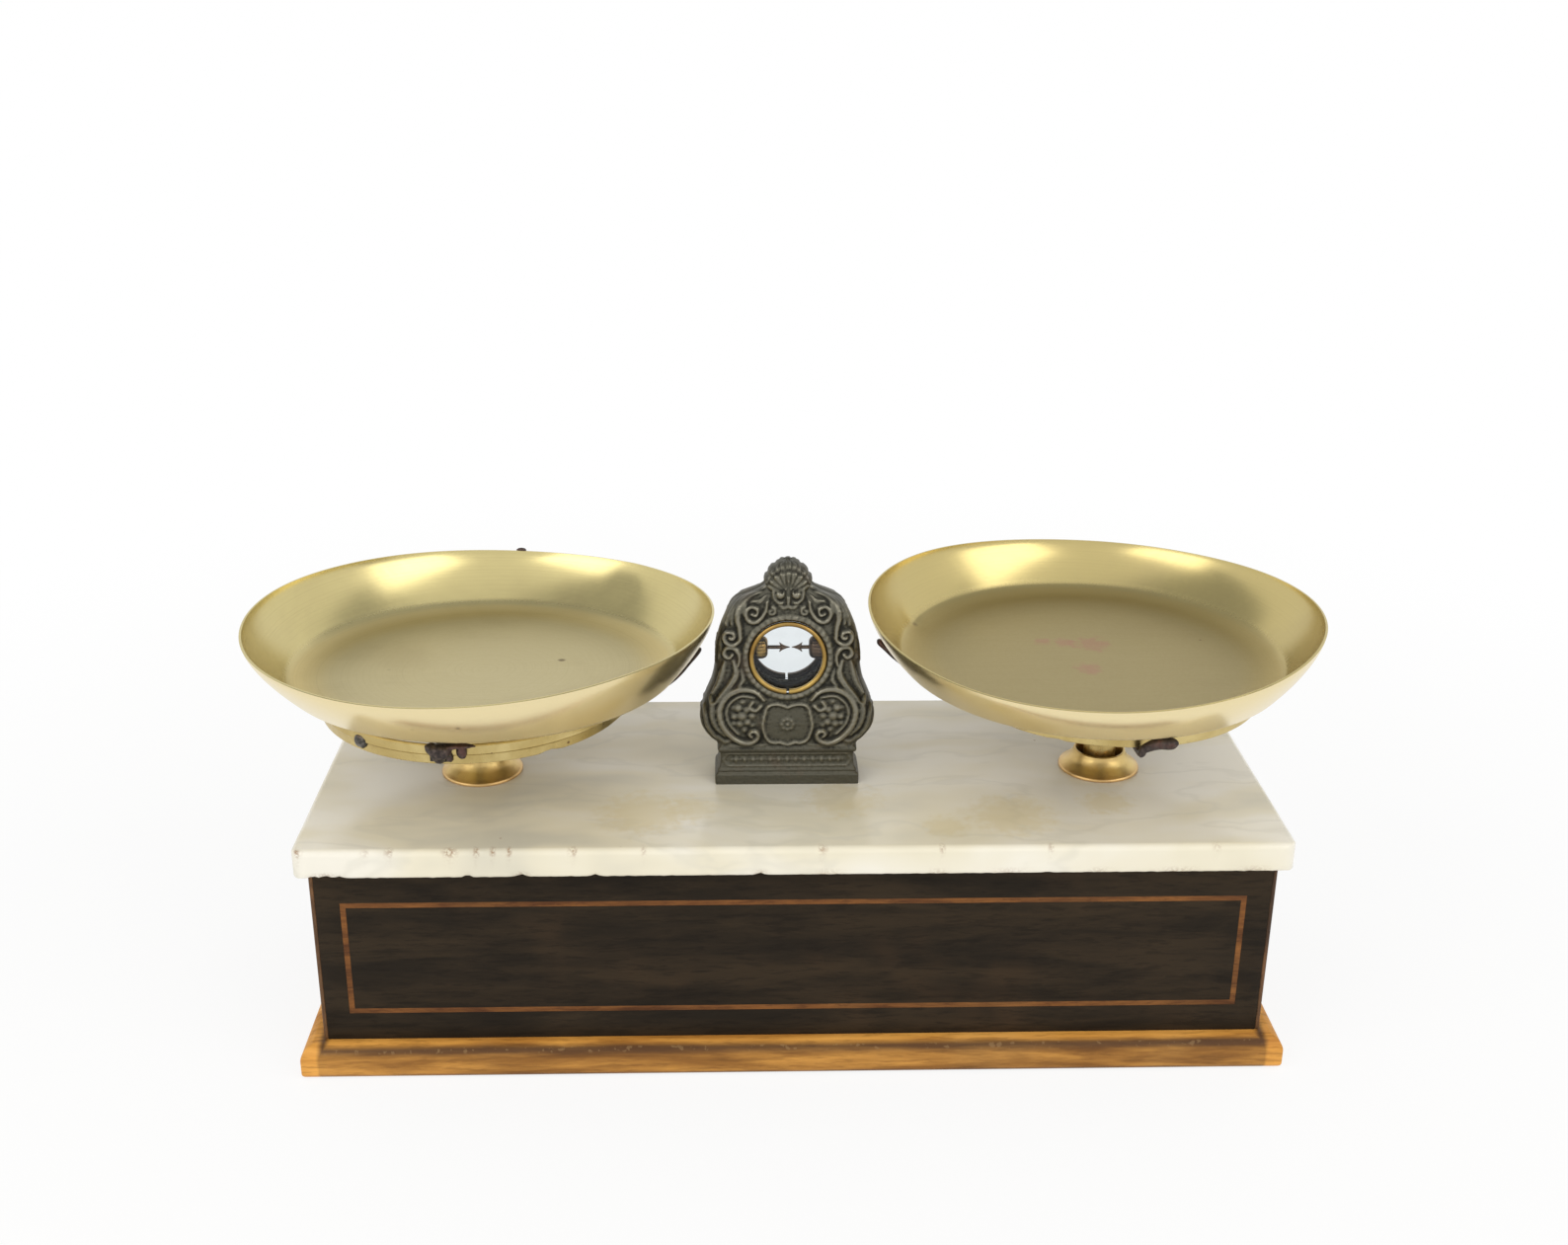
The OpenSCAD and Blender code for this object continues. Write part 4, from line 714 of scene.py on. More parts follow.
# Slab: eased copy, cut across so that its lower front edge can be chipped
slabLook = {"front": -72.2, "low": 94.8, "ease": 0.5, "lowReach": 3.4, "topReach": 2.8, "cutEnd": 197.0,
            "cutStep": 1.6,
            "cutHeights": (0.9, 2.0, 3.4, 9.0), "cutDepths": (1.2, 2.8, 4.4, 57.2, 76.2, 87.2),
            "lowChips": [(-191.2, 3.0, 0.8), (-186.2, 3.5, 0.9), (-181.1, 3.0, 0.7), (-130.7, 2.5, 0.9),
                         (-109.4, 3.5, 1.1), (-80.2, 2.6, 0.8), (-14.8, 2.6, 0.8), (100.0, 1.6, 0.4)],
            "lowStains": [(-186.0, 7.0), (-109.0, 5.0), (-14.8, 5.0), (12.0, 7.0), (56.0, 5.0), (84.0, 9.0),
                          (120.0, 6.0), (152.0, 11.0), (183.0, 9.0)],
            "topPits": [(-170.5, 1.0), (-160.9, 1.4), (-137.0, 3.4), (-126.6, 1.5), (-120.0, 0.9),
                        (-113.8, 0.9), (-88.7, 1.7), (-61.5, 0.9), (10.0, 1.5), (57.0, 0.9),
                        (101.0, 0.8), (167.0, 1.1), (-197.0, 2.0)]}


def hillsAt(x, hills, narrow):
    return sum(math.exp(-((x - middle) / width * narrow) ** 2) for middle, width in hills)


def makeSlab(look):
    shape = softShape("marble_slab", look["ease"])
    front, low, x = look["front"], look["low"], -look["cutEnd"]
    while x < look["cutEnd"]:
        cutAcross(shape, (x * mm, 0, 0), (1, 0, 0))
        x += look["cutStep"]
    for height in look["cutHeights"]:
        cutAcross(shape, (0, 0, (low + height) * mm), (0, 0, 1))
    for depth in look["cutDepths"]:
        cutAcross(shape, (0, (front + depth) * mm, 0), (0, 1, 0))
    layer = shape.verts.layers.float.new("chipped")
    for vert in shape.verts:
        x, y, z = vert.co / mm
        lowReach = math.hypot(y - front, z - low)
        topReach = math.hypot(y - front - 0.8, z - slabTop + 0.8)
        if lowReach < look["lowReach"]:
            bite = sum(depth * hillsAt(x, [(middle, width)], 1.8) for middle, width, depth in look["lowChips"])
            bite += 0.1 + 0.2 * noise.noise(Vector((x * 0.35, 0, 3.0)))
            fall = 1.0 - lowReach / look["lowReach"]
            vert.co.y += bite * fall * mm * 0.6
            vert.co.z += bite * fall * mm
            vert[layer] = min(0.5, (0.15 * bite + 0.4 * hillsAt(x, look["lowStains"], 1.6)) * fall)
        elif topReach < look["topReach"]:
            pit = hillsAt(x, look["topPits"], 1.6)
            fall = 1.0 - topReach / look["topReach"]
            vert.co.y += 0.5 * pit * fall * mm
            vert.co.z -= 0.4 * pit * fall * mm
            vert[layer] = min(0.8, 1.1 * pit * fall)
    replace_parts(addPiece("slab_chipped", shape, ["marble_slab"]), "marble_slab")


makeSlab(slabLook)
print("slab chipped")


# Crosses: flat arms, swept claws and solder lumps, melted together by a voxel remesh
def sweepShape(shape, path, radii, sides):
    points = [Vector(point) * mm for point in path]
    rings = []
    for k, point in enumerate(points):
        way = (points[min(k + 1, len(points) - 1)] - points[max(k - 1, 0)]).normalized()
        turn = way.to_track_quat("Z", "Y").to_matrix().to_4x4()
        flat = Matrix.Diagonal((*radii[k], 1.0, 1.0))
        made = bmesh.ops.create_circle(shape, cap_ends=False, segments=sides, radius=mm,
                                       matrix=Matrix.Translation(point) @ turn @ flat)
        rings.append(made["verts"])
    for first, second in zip(rings, rings[1:]):
        edges = {edge for vert in first + second for edge in vert.link_edges
                 if (edge.verts[0] in first and edge.verts[1] in first)
                 or (edge.verts[0] in second and edge.verts[1] in second)}
        bmesh.ops.bridge_loops(shape, edges=list(edges))
    for ring in (rings[0], rings[-1]):
        bmesh.ops.contextual_create(shape, geom=ring)


def addLump(shape, place, size, turn=0.0):
    made = bmesh.ops.create_icosphere(shape, subdivisions=3, radius=1.0 * mm, matrix=Matrix.Translation(
        Vector(place) * mm) @ Matrix.Rotation(math.radians(turn), 4, "Z") @ Matrix.Diagonal((*size, 1.0)))
    for vert in made["verts"]:
        vert.co += Vector((0.0, 0.0, 1.0)) * noise.noise(vert.co * 500.0) * 0.5 * mm


crossLook = {"width": 9.0, "thick": 3.5, "level": 142.8, "hub": 12.0, "reach": 66.5, "voxel": 0.55,
             "cuts": (50.0, 57.0), "joggleFrom": 56.5, "joggleShort": 2.5}
clawPaths = {  # distance from the stem, sideways, height over the arm's underside, half width, half thickness
    "leftInner": [(60.0, 0.0, 1.75, 2.4, 1.75), (67.0, 0.0, 1.75, 2.6, 1.75), (75.0, 0.0, 4.4, 2.8, 1.4),
                  (82.0, 0.0, 8.4, 2.8, 1.0), (86.6, 0.0, 12.8, 2.8, 0.8), (89.6, 0.0, 16.7, 2.7, 0.8),
                  (92.7, 0.0, 20.5, 2.6, 0.8), (94.3, 0.0, 22.8, 2.4, 0.8)],
    "leftBack": [(60.0, 0.0, 1.75, 2.4, 1.75), (67.0, 0.0, 1.75, 2.6, 1.75), (74.0, 0.0, 3.2, 2.8, 1.4),
                 (80.0, 0.0, 6.0, 2.8, 1.2), (85.3, 0.0, 9.6, 2.8, 1.2), (92.0, 0.0, 16.0, 2.7, 1.2),
                 (97.5, 0.0, 22.6, 2.6, 1.1), (100.1, 0.0, 26.8, 2.6, 1.0), (100.9, 0.0, 29.2, 2.6, 0.9)],
    "leftStump": [(60.0, 0.0, 1.75, 1.75, 1.75), (65.0, 0.0, 1.75, 2.0, 2.0), (67.5, 0.0, 2.3, 2.3, 2.3),
                  (69.0, 0.0, 3.4, 2.6, 2.6)],
    "short": [(60.0, 0.0, 1.75, 1.75, 1.75), (67.0, 0.0, 1.75, 1.75, 1.75), (68.5, 0.0, 1.75, 2.1, 2.1)],
    "rightInner": [(46.0, 0.0, 1.75, 1.75, 1.75), (67.0, 0.0, 1.75, 2.2, 1.75), (74.0, 0.0, 5.2, 2.8, 1.4),
                   (80.0, 0.0, 9.4, 2.8, 1.2), (85.0, 0.0, 12.5, 2.8, 1.2), (90.2, 0.0, 16.7, 2.7, 1.2),
                   (93.6, 0.0, 20.2, 2.6, 1.3), (96.6, 0.0, 23.2, 2.4, 1.4)],
    "rightBack": [(46.0, 0.0, 1.75, 1.75, 1.75), (67.0, 0.0, 1.75, 2.2, 1.75), (73.0, 0.0, 6.0, 2.8, 1.4),
                  (79.0, 0.0, 12.8, 2.8, 1.2), (84.1, 0.0, 17.4, 2.8, 1.2), (89.6, 0.0, 23.4, 2.6, 1.1),
                  (93.0, 0.0, 28.0, 2.4, 1.0)],
    "bent": [(46.0, 0.0, 1.75, 1.75, 1.75), (66.6, 0.0, 2.4, 1.6, 1.6), (69.4, 0.3, 5.2, 1.8, 1.8),
             (71.2, 2.8, 7.6, 2.2, 2.2), (72.3, 5.9, 9.1, 2.5, 2.5), (73.0, 8.8, 9.3, 2.6, 2.6),
             (73.2, 10.0, 9.4, 2.5, 2.5)],
    "hidden": [(46.0, 0.0, 1.75, 1.75, 1.75), (56.0, 0.0, 1.75, 1.75, 1.75), (62.0, 0.0, 1.75, 1.75, 1.75)],
}
clawTip = [(0.5, 0.9), (0.85, 0.6), (1.2, 0.25)]  # past the end and across, as shares of the end's half thickness


def addClaw(shape, kind, centreX, angle):
    turn = Matrix.Rotation(math.radians(angle), 3, "Z")
    points, radii = [], []
    for out, aside, height, wide, thin in bendLine(clawPaths[kind], 5):
        points.append(turn @ Vector((out, aside, height + crossLook["level"])) + Vector((centreX, 0.0, 0.0)))
        radii.append((wide, thin))
    end, way, (wide, thin) = points[-1], (points[-1] - points[-2]).normalized(), radii[-1]
    for past, across in clawTip:
        points.append(end + way * thin * past)
        radii.append((wide * across, thin * across))
    sweepShape(shape, points, radii, 14)


def makeCross(side, turnAngle, arms, joggle, lumps, node):
    shape = bmesh.new()
    look = crossLook
    centreX = stemX * side
    middle = Vector((centreX, 0.0, look["level"] + look["thick"] / 2)) * mm
    reach = look["reach"] - (look["joggleShort"] if joggle else 0.0)
    angles = [turnAngle + 90.0 * (quarter - 1) for quarter in range(4)]
    for angle in angles:
        turn = Matrix.Rotation(math.radians(angle), 4, "Z")
        bar = Matrix.Translation(middle) @ turn @ Matrix.Translation((reach / 2 * mm, 0.0, 0.0)) \
            @ Matrix.Diagonal((reach * mm, look["width"] * mm, look["thick"] * mm, 1.0))
        bmesh.ops.create_cube(shape, size=1.0, matrix=bar)
        for along in look["cuts"]:
            way = turn @ Vector((1.0, 0.0, 0.0))
            cutAcross(shape, middle + way * along * mm, way)
    for vert in shape.verts:
        if math.hypot(vert.co.x - middle.x, vert.co.y) > look["joggleFrom"] * mm:
            vert.co.z += joggle * mm
    bmesh.ops.create_cone(shape, cap_ends=True, segments=48, radius1=look["hub"] * mm, radius2=look["hub"] * mm,
                          depth=look["thick"] * mm, matrix=Matrix.Translation(middle))
    for kind, angle in zip(arms, angles):
        addClaw(shape, kind, centreX, angle)
    for place, size, turn in lumps:
        addLump(shape, place, size, turn)
    bmesh.ops.recalc_face_normals(shape, faces=shape.faces)
    piece = addPiece(node + "_forged", shape, [node], smoothBelow=180.0)
    melt = piece.modifiers.new("melt", "REMESH")
    melt.mode = "VOXEL"
    melt.voxel_size = look["voxel"] * mm
    melt.use_smooth_shade = True
    relax = piece.modifiers.new("relax", "SMOOTH")
    relax.iterations = 3
    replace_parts(piece, node)


# Arms in the order front, right, back, left; each lump is (place), (size), turn
makeCross(-1, -5.0, ["leftStump", "leftInner", "leftBack", "short"], 0.0,
          [((-138.4, -69.4, 148.9), (4.6, 3.4, 3.3), 0.0), ((-141.8, -68.2, 149.6), (2.6, 2.4, 2.6), 0.0),
           ((-134.6, -68.6, 150.9), (10.5, 2.2, 1.0), 0.0), ((-130.6, -66.4, 147.6), (2.2, 1.6, 3.7), 0.0)],
          "left_cross")
makeCross(1, 1.0, ["bent", "hidden", "rightBack", "rightInner"], 3.7, [], "right_cross")


# Solder that ran down the left ring's outside
ringSolder = {"place": (-172.4, -51.6, 145.2), "size": (3.5, 1.3, 3.0), "turn": 37.0}


def makeRingSolder(look):
    shape = bmesh.new()
    addLump(shape, look["place"], look["size"], -look["turn"])
    addPiece("left_ring_solder", shape, ["left_cross"], finishes["greySolder"], 180.0)


makeRingSolder(ringSolder)
print("crosses forged")


# Housing: one half is a grid laid over the outline, carved by strokes, then mirrored for the other half
housingLook = {"place": (-2.6, -5.6, slabTop), "crest": 97.55, "samples": 961, "plinthRows": 46,
               "columns": 150, "rows": 236, "wall": 1.8, "windowAt": 57.4, "windowR": 16.05, "flank": 5.6}
housingSides = [  # half width and height of the silhouette, millimetres over the slab
    (29.2, 16.5), (30.6, 18.0), (32.6, 20.2), (34.6, 23.0), (35.8, 26.0), (36.2, 29.5), (36.0, 33.0),
    (35.0, 37.0), (33.4, 41.0), (31.8, 45.0), (30.7, 50.0), (30.2, 55.0), (29.9, 60.0), (29.1, 65.0),
    (28.0, 69.0), (26.4, 73.0), (25.0, 76.0), (22.8, 79.3), (20.0, 81.6), (16.6, 83.2), (12.8, 84.8),
    (10.4, 86.3), (9.3, 87.5), (10.0, 89.2), (9.6, 90.9), (8.3, 91.9), (8.3, 93.2), (7.0, 94.8),
    (5.3, 95.5), (4.6, 96.6), (2.5, 97.4), (0.0, 97.6)]
plinthSteps = [  # half width, depth from the seam, height
    (30.5, 10.2, 0.0), (30.5, 10.2, 4.3), (30.1, 9.8, 4.8), (29.5, 9.2, 5.1), (29.6, 9.3, 6.4),
    (29.1, 8.8, 6.8), (28.6, 8.4, 8.0), (28.3, 8.1, 9.6), (28.2, 8.0, 12.4), (28.5, 8.3, 14.0),
    (29.3, 9.1, 14.7), (29.5, 9.3, 15.8), (29.2, 8.9, 16.5)]
bodyDepths = [(8.5, 16.5), (8.6, 20.0), (9.0, 28.0), (8.9, 38.0), (8.4, 50.0), (8.3, 66.0), (8.0, 80.0),
              (7.4, 88.0), (6.6, 97.6)]


def spiralLine(x, z, start, end, angle, turns, wide, narrow, steps=26):
    line = []
    for k in range(steps + 1):
        t = k / steps
        reach = start + (end - start) * t
        turn = math.radians(angle) + turns * math.tau * t
        line.append((x + reach * math.cos(turn), z + reach * math.sin(turn), wide + (narrow - wide) * t))
    return line


# Carving of the right half, mirrored to the left: strokes of (x, height, half width), rise, and groove share
carving = [
    # S-scroll down the shoulder, ending in a spiral
    (bendLine([(12.0, 85.0, 0.5), (16.6, 83.0, 1.0), (19.4, 80.0, 1.35), (20.8, 75.0, 1.3), (20.0, 70.5, 1.1),
               (19.8, 66.0, 1.0)], 5), 1.6, 0.3),
    (spiralLine(23.6, 66.6, 4.0, 0.5, 185, 1.35, 1.05, 0.8), 1.6, 0.0),
    # acanthus along the shoulder's edge
    (bendLine([(11.0, 87.0, 0.7), (16.0, 84.0, 1.2), (21.0, 80.6, 1.3), (24.0, 76.5, 1.1), (25.8, 71.5, 0.8)], 5),
     1.1, 0.3),
    (bendLine([(21.8, 79.5, 0.5), (23.2, 75.5, 1.1), (23.2, 72.0, 0.6)], 5), 1.0, 0.4),
    (bendLine([(17.5, 80.5, 0.4), (18.2, 77.5, 1.0), (17.4, 75.0, 0.5)], 5), 1.1, 0.4),
    # inner scroll beside the window's top
    (bendLine([(8.6, 82.0, 0.5), (9.4, 77.6, 0.9), (12.6, 73.4, 1.05), (16.2, 73.6, 1.0), (17.4, 77.2, 0.9),
               (15.2, 79.6, 0.8), (12.6, 78.4, 0.7), (13.2, 75.9, 0.7), (14.9, 76.4, 0.5)], 5), 1.3, 0.0),
    (spiralLine(6.9, 77.6, 1.9, 0.4, 100, 1.0, 0.65, 0.5), 0.9, 0.0),
    (bendLine([(9.3, 84.2, 0.4), (11.4, 82.0, 0.9), (14.6, 81.8, 0.5)], 4), 0.9, 0.3),
    # round bulbs under the shell, a hook under each
    (bendLine([(1.0, 87.4, 0.5), (3.4, 88.1, 0.8), (5.7, 86.7, 0.9), (5.9, 83.8, 0.8), (4.3, 81.7, 0.7),
               (2.5, 81.3, 0.5)], 5), 1.1, 0.0),
    ([(3.2, 85.0, 2.1), (3.4, 84.8, 1.9)], 1.9, 0.0),
    ([(0.0, 83.4, 0.9), (0.0, 79.6, 0.5)], 1.0, 0.3),
    (bendLine([(0.0, 79.8, 0.7), (2.0, 79.2, 0.9), (3.8, 80.4, 0.4)], 4), 0.8, 0.3),
    # flank acanthus: small spiral and the leaves under it
    (bendLine([(20.6, 53.8, 0.5), (20.0, 58.0, 1.0), (22.0, 61.4, 1.1), (25.2, 61.8, 1.0), (26.4, 59.0, 0.9),
               (24.6, 57.2, 0.8), (23.0, 58.6, 0.6)], 5), 1.4, 0.0),
    (bendLine([(22.6, 56.0, 0.5), (21.4, 50.5, 1.4), (23.6, 45.6, 1.5), (27.6, 40.6, 1.1), (31.0, 36.0, 0.5)], 5),
     1.4, 0.45),
    (bendLine([(26.2, 55.6, 0.4), (27.4, 50.5, 1.3), (29.2, 45.5, 1.2), (31.8, 41.0, 0.6)], 5), 1.1, 0.45),
    (bendLine([(19.4, 52.0, 0.4), (18.6, 47.6, 1.0), (20.4, 44.6, 0.7)], 5), 1.0, 0.4),
    (bendLine([(28.6, 66.0, 0.4), (28.4, 61.0, 1.2), (29.0, 56.6, 0.6)], 5), 0.9, 0.4),
    (bendLine([(31.0, 64.0, 0.4), (31.6, 59.0, 1.1), (32.2, 54.0, 0.5)], 5), 0.8, 0.3),
    # C-scroll round the flower, with its volute
    (bendLine([(9.8, 38.4, 0.7), (13.6, 42.2, 1.1), (19.6, 43.2, 1.4), (25.4, 40.2, 1.5), (28.4, 34.0, 1.5),
               (27.2, 27.0, 1.4), (22.6, 21.0, 1.3), (17.6, 18.6, 1.2), (13.4, 19.8, 1.1), (12.4, 22.8, 1.0),
               (14.4, 24.4, 0.9), (16.0, 22.8, 0.8), (14.8, 21.6, 0.7)], 5), 1.9, 0.25),
    (bendLine([(11.2, 35.6, 0.7), (13.6, 33.6, 0.9), (15.8, 35.2, 0.8), (14.6, 37.4, 0.6)], 5), 1.2, 0.0),
    (bendLine([(14.0, 39.4, 0.4), (19.4, 40.2, 0.6), (23.8, 37.4, 0.6), (25.6, 32.8, 0.6), (24.4, 27.6, 0.6),
               (20.6, 22.8, 0.5)], 5), 1.0, 0.0),
    # leaves at the belly's edge
    (bendLine([(33.0, 39.6, 0.5), (31.4, 35.6, 1.2), (31.4, 31.0, 1.3), (29.6, 26.0, 1.0), (26.0, 22.0, 0.5)], 5),
     1.2, 0.4),
    (bendLine([(36.4, 35.6, 0.5), (34.8, 31.0, 1.4), (33.4, 26.0, 1.2), (29.6, 20.6, 0.5)], 5), 1.1, 0.4),
    (bendLine([(39.5, 33.0, 0.5), (38.4, 28.0, 1.3), (35.6, 22.5, 0.9), (31.6, 18.8, 0.4)], 5), 1.0, 0.3),
    (bendLine([(23.0, 20.4, 0.4), (26.4, 19.0, 0.9), (29.4, 21.6, 0.6)], 5), 0.8, 0.3),
    (bendLine([(8.6, 17.6, 0.3), (13.0, 17.4, 0.7), (19.0, 17.2, 0.6), (25.0, 17.4, 0.3)], 4), 0.6, 0.0),
    # rim of the cartouche: wavy top with a notch, scalloped foot
    (bendLine([(0.0, 34.9, 0.55), (1.4, 35.7, 0.6), (5.2, 36.5, 0.6), (8.4, 35.2, 0.6), (9.6, 31.6, 0.6),
               (10.3, 27.0, 0.6), (9.4, 22.2, 0.6), (7.6, 19.4, 0.6), (5.2, 18.6, 0.6), (3.4, 18.9, 0.6),
               (1.7, 18.2, 0.6), (0.0, 18.0, 0.6)], 5), 1.15, 0.0),
    # frame of the plaque on the plinth, with pointed ends
    ([(0.0, 13.4, 0.32), (25.2, 13.4, 0.32), (27.0, 10.6, 0.32), (25.2, 7.9, 0.32), (0.0, 7.9, 0.32)], 0.5, 0.0),
]
flowerBlobs = [  # x, height, radius, rise: petals and berries inside the C-scroll, lobes of the crest
    (19.0, 31.2, 2.2, 1.1), (17.0, 34.0, 1.6, 1.0), (20.6, 34.8, 1.7, 1.0), (22.2, 31.0, 1.5, 0.9),
    (20.0, 27.6, 1.6, 0.9), (16.8, 28.4, 1.6, 1.0), (15.0, 31.2, 1.5, 0.9), (22.4, 27.8, 1.1, 0.7),
    (18.8, 37.6, 1.1, 0.7), (22.6, 35.0, 0.9, 0.6), (18.0, 24.8, 1.2, 0.7), (14.8, 27.0, 1.0, 0.7),
    (0.0, 96.4, 1.3, 0.7), (2.5, 96.0, 1.1, 0.7), (4.7, 94.9, 1.1, 0.7), (6.6, 93.2, 1.1, 0.7),
    (8.0, 91.2, 1.1, 0.8), (8.9, 88.9, 1.1, 0.8)]
shellFan = {"foot": 85.4, "inner": 2.2, "outer": 8.8, "spread": 74.0, "ribs": 9, "rise": 1.0}
rosette = {"at": 27.4, "petals": 8, "petalR": 2.3, "size": 1.0, "rise": 0.7}
plaqueRow = {"at": 10.65, "pitch": 3.6, "count": 6, "rise": 0.55}
windowBand = {"middle": 17.6, "half": 1.4, "inner": 16.0, "outer": 19.4, "notches": 9.0, "rise": 1.15}


def dome(off):
    return np.sqrt(np.clip(1 - off ** 2, 0, 1))


def repeated(angle, pitch):
    return np.abs((angle + pitch / 2) % pitch - pitch / 2) / (pitch / 2)


def fromSegment(x, z, x0, z0, x1, z1):
    length = max((x1 - x0) ** 2 + (z1 - z0) ** 2, 1e-9)
    share = np.clip(((x - x0) * (x1 - x0) + (z - z0) * (z1 - z0)) / length, 0, 1)
    return share, np.hypot(x - x0 - share * (x1 - x0), z - z0 - share * (z1 - z0))


def strokeHeight(x, z, line, rise, groove):
    height = np.zeros_like(x)
    for (x0, z0, w0), (x1, z1, w1) in zip(line, line[1:]):
        reach = max(w0, w1) + 0.1
        near = ((x > min(x0, x1) - reach) & (x < max(x0, x1) + reach)
                & (z > min(z0, z1) - reach) & (z < max(z0, z1) + reach))
        share, away = fromSegment(x[near], z[near], x0, z0, x1, z1)
        off = away / (w0 + share * (w1 - w0))
        height[near] = np.maximum(height[near], rise * dome(off) - rise * groove * np.exp(-(off / 0.3) ** 2))
    return height


def carvedHeight(x, z):
    side = np.abs(x)
    height = np.zeros_like(x)
    for line, rise, groove in carving:
        height = np.maximum(height, strokeHeight(side, z, line, rise, groove))
    for bx, bz, radius, rise in flowerBlobs:
        height = np.maximum(height, rise * dome(np.hypot(side - bx, z - bz) / radius))
    fan = shellFan
    angle = np.degrees(np.arctan2(side, z - fan["foot"]))
    reach = np.hypot(side, z - fan["foot"])
    inFan = (angle < fan["spread"] + 6) & (reach > fan["inner"]) & (reach < fan["outer"] + 0.9)
    pitch = 2 * fan["spread"] / (fan["ribs"] - 1)
    rib = repeated(angle, pitch)
    ribs = fan["rise"] * dome(rib) * np.clip((reach - fan["inner"]) / 3, 0, 1)
    lobe = np.clip(fan["outer"] + 0.8 * np.cos(rib * np.pi / 2) - reach, 0, 1)
    height = np.where(inFan, np.maximum(height * 0.2, ribs * lobe), height)
    ring = np.hypot(x, z - housingLook["windowAt"])
    turn = np.degrees(np.arctan2(x, z - housingLook["windowAt"]))
    band = windowBand
    notch = 1 - 0.45 * repeated(turn, band["notches"]) ** 4
    uneven = 0.85 + 0.15 * np.sin(np.radians(turn * 5.0)) * np.sin(np.radians(turn * 11.0 + 40.0))
    bead = band["rise"] * dome((ring - band["middle"]) / band["half"]) * uneven * notch * (ring > band["inner"])
    height = np.where(ring < band["outer"], bead, height)
    for k in range(rosette["petals"]):
        turn = k * math.tau / rosette["petals"]
        petalX, petalZ = rosette["petalR"] * math.cos(turn), rosette["petalR"] * math.sin(turn)
        off = np.hypot(x - petalX, z - rosette["at"] - petalZ) / rosette["size"]
        height = np.maximum(height, rosette["rise"] * dome(off))
    height = np.maximum(height, 0.9 * dome(np.hypot(x, z - rosette["at"]) / 1.1))
    row = plaqueRow
    for k in range(row["count"] + 1):
        lozenge = np.abs(side - k * row["pitch"]) / 1.15 + np.abs(z - row["at"]) / 1.7
        height = np.maximum(height, row["rise"] * np.clip(2.2 * (1 - lozenge), 0, 1))
        bead = np.hypot(side - (k + 0.5) * row["pitch"], z - row["at"]) / 0.5
        height = np.maximum(height, row["rise"] * dome(bead))
    return height


def outlineDistance(x, z, outline):
    best = np.full(x.shape, 1e9)
    for start, end in zip(outline, outline[1:]):
        best = np.minimum(best, fromSegment(np.abs(x), z, *start, *end)[1])
    return best


def softened(field, passes):
    for turn in range(passes):
        padded = np.pad(field, 1, mode="edge")
        field = (padded[:-2, 1:-1] + padded[2:, 1:-1] + padded[1:-1, :-2] + padded[1:-1, 2:]
                 + 2 * padded[1:-1, 1:-1]) / 6
    return field


def readTable(levels, table, column):
    return np.interp(levels, [row[-1] for row in table], [row[column] for row in table])


def housingSurface(look):
    columns, rows = look["columns"], look["rows"]
    outline = bendLine(housingSides, 3)
    plinthTop = plinthSteps[-1][2]
    low = np.linspace(0.0, plinthTop, look["plinthRows"])
    climb = np.linspace(0, 1, rows - look["plinthRows"] + 2) ** 0.94
    high = plinthTop + (look["crest"] - plinthTop) * climb
    levels = np.concatenate([low, high[1:]])
    widths = np.where(levels <= plinthTop, readTable(levels, plinthSteps, 0), readTable(levels, outline, 0))
    depths = np.where(levels <= plinthTop, readTable(levels, plinthSteps, 1), readTable(levels, bodyDepths, 0))
    share = np.linspace(-1, 1, look["samples"])
    x = widths[:, None] * share[None, :]
    z = np.repeat(levels[:, None], len(share), axis=1)
    onPlinth = z <= plinthTop
    inside = np.where(onPlinth, widths[:, None] - np.abs(x), outlineDistance(x, z, outline))
    rounding = np.where(onPlinth, 0.9, np.minimum(look["flank"], 0.9 + 2.0 * np.abs(z - plinthTop)))
    power = np.where(onPlinth, 4.0, 2.3)
    hollow = np.clip(1 - inside / rounding, 0, 1)
    y = -depths[:, None] * np.clip(1 - hollow ** power, 0, 1) ** (1 / power)
    arc = np.concatenate([np.zeros((rows + 1, 1)), np.cumsum(np.hypot(np.diff(x), np.diff(y)), axis=1)], axis=1)
    gridX, gridY, gridS = (np.zeros((rows + 1, columns + 1)) for part in range(3))
    for j in range(rows + 1):
        even = np.linspace(0, arc[j, -1], columns + 1)
        gridX[j] = np.interp(even, arc[j], x[j])
        gridY[j] = np.interp(even, arc[j], y[j])
        gridS[j] = even - arc[j, -1] / 2
    gridZ = np.repeat(levels[:, None], columns + 1, axis=1)
    return gridX, gridY, gridZ, gridS


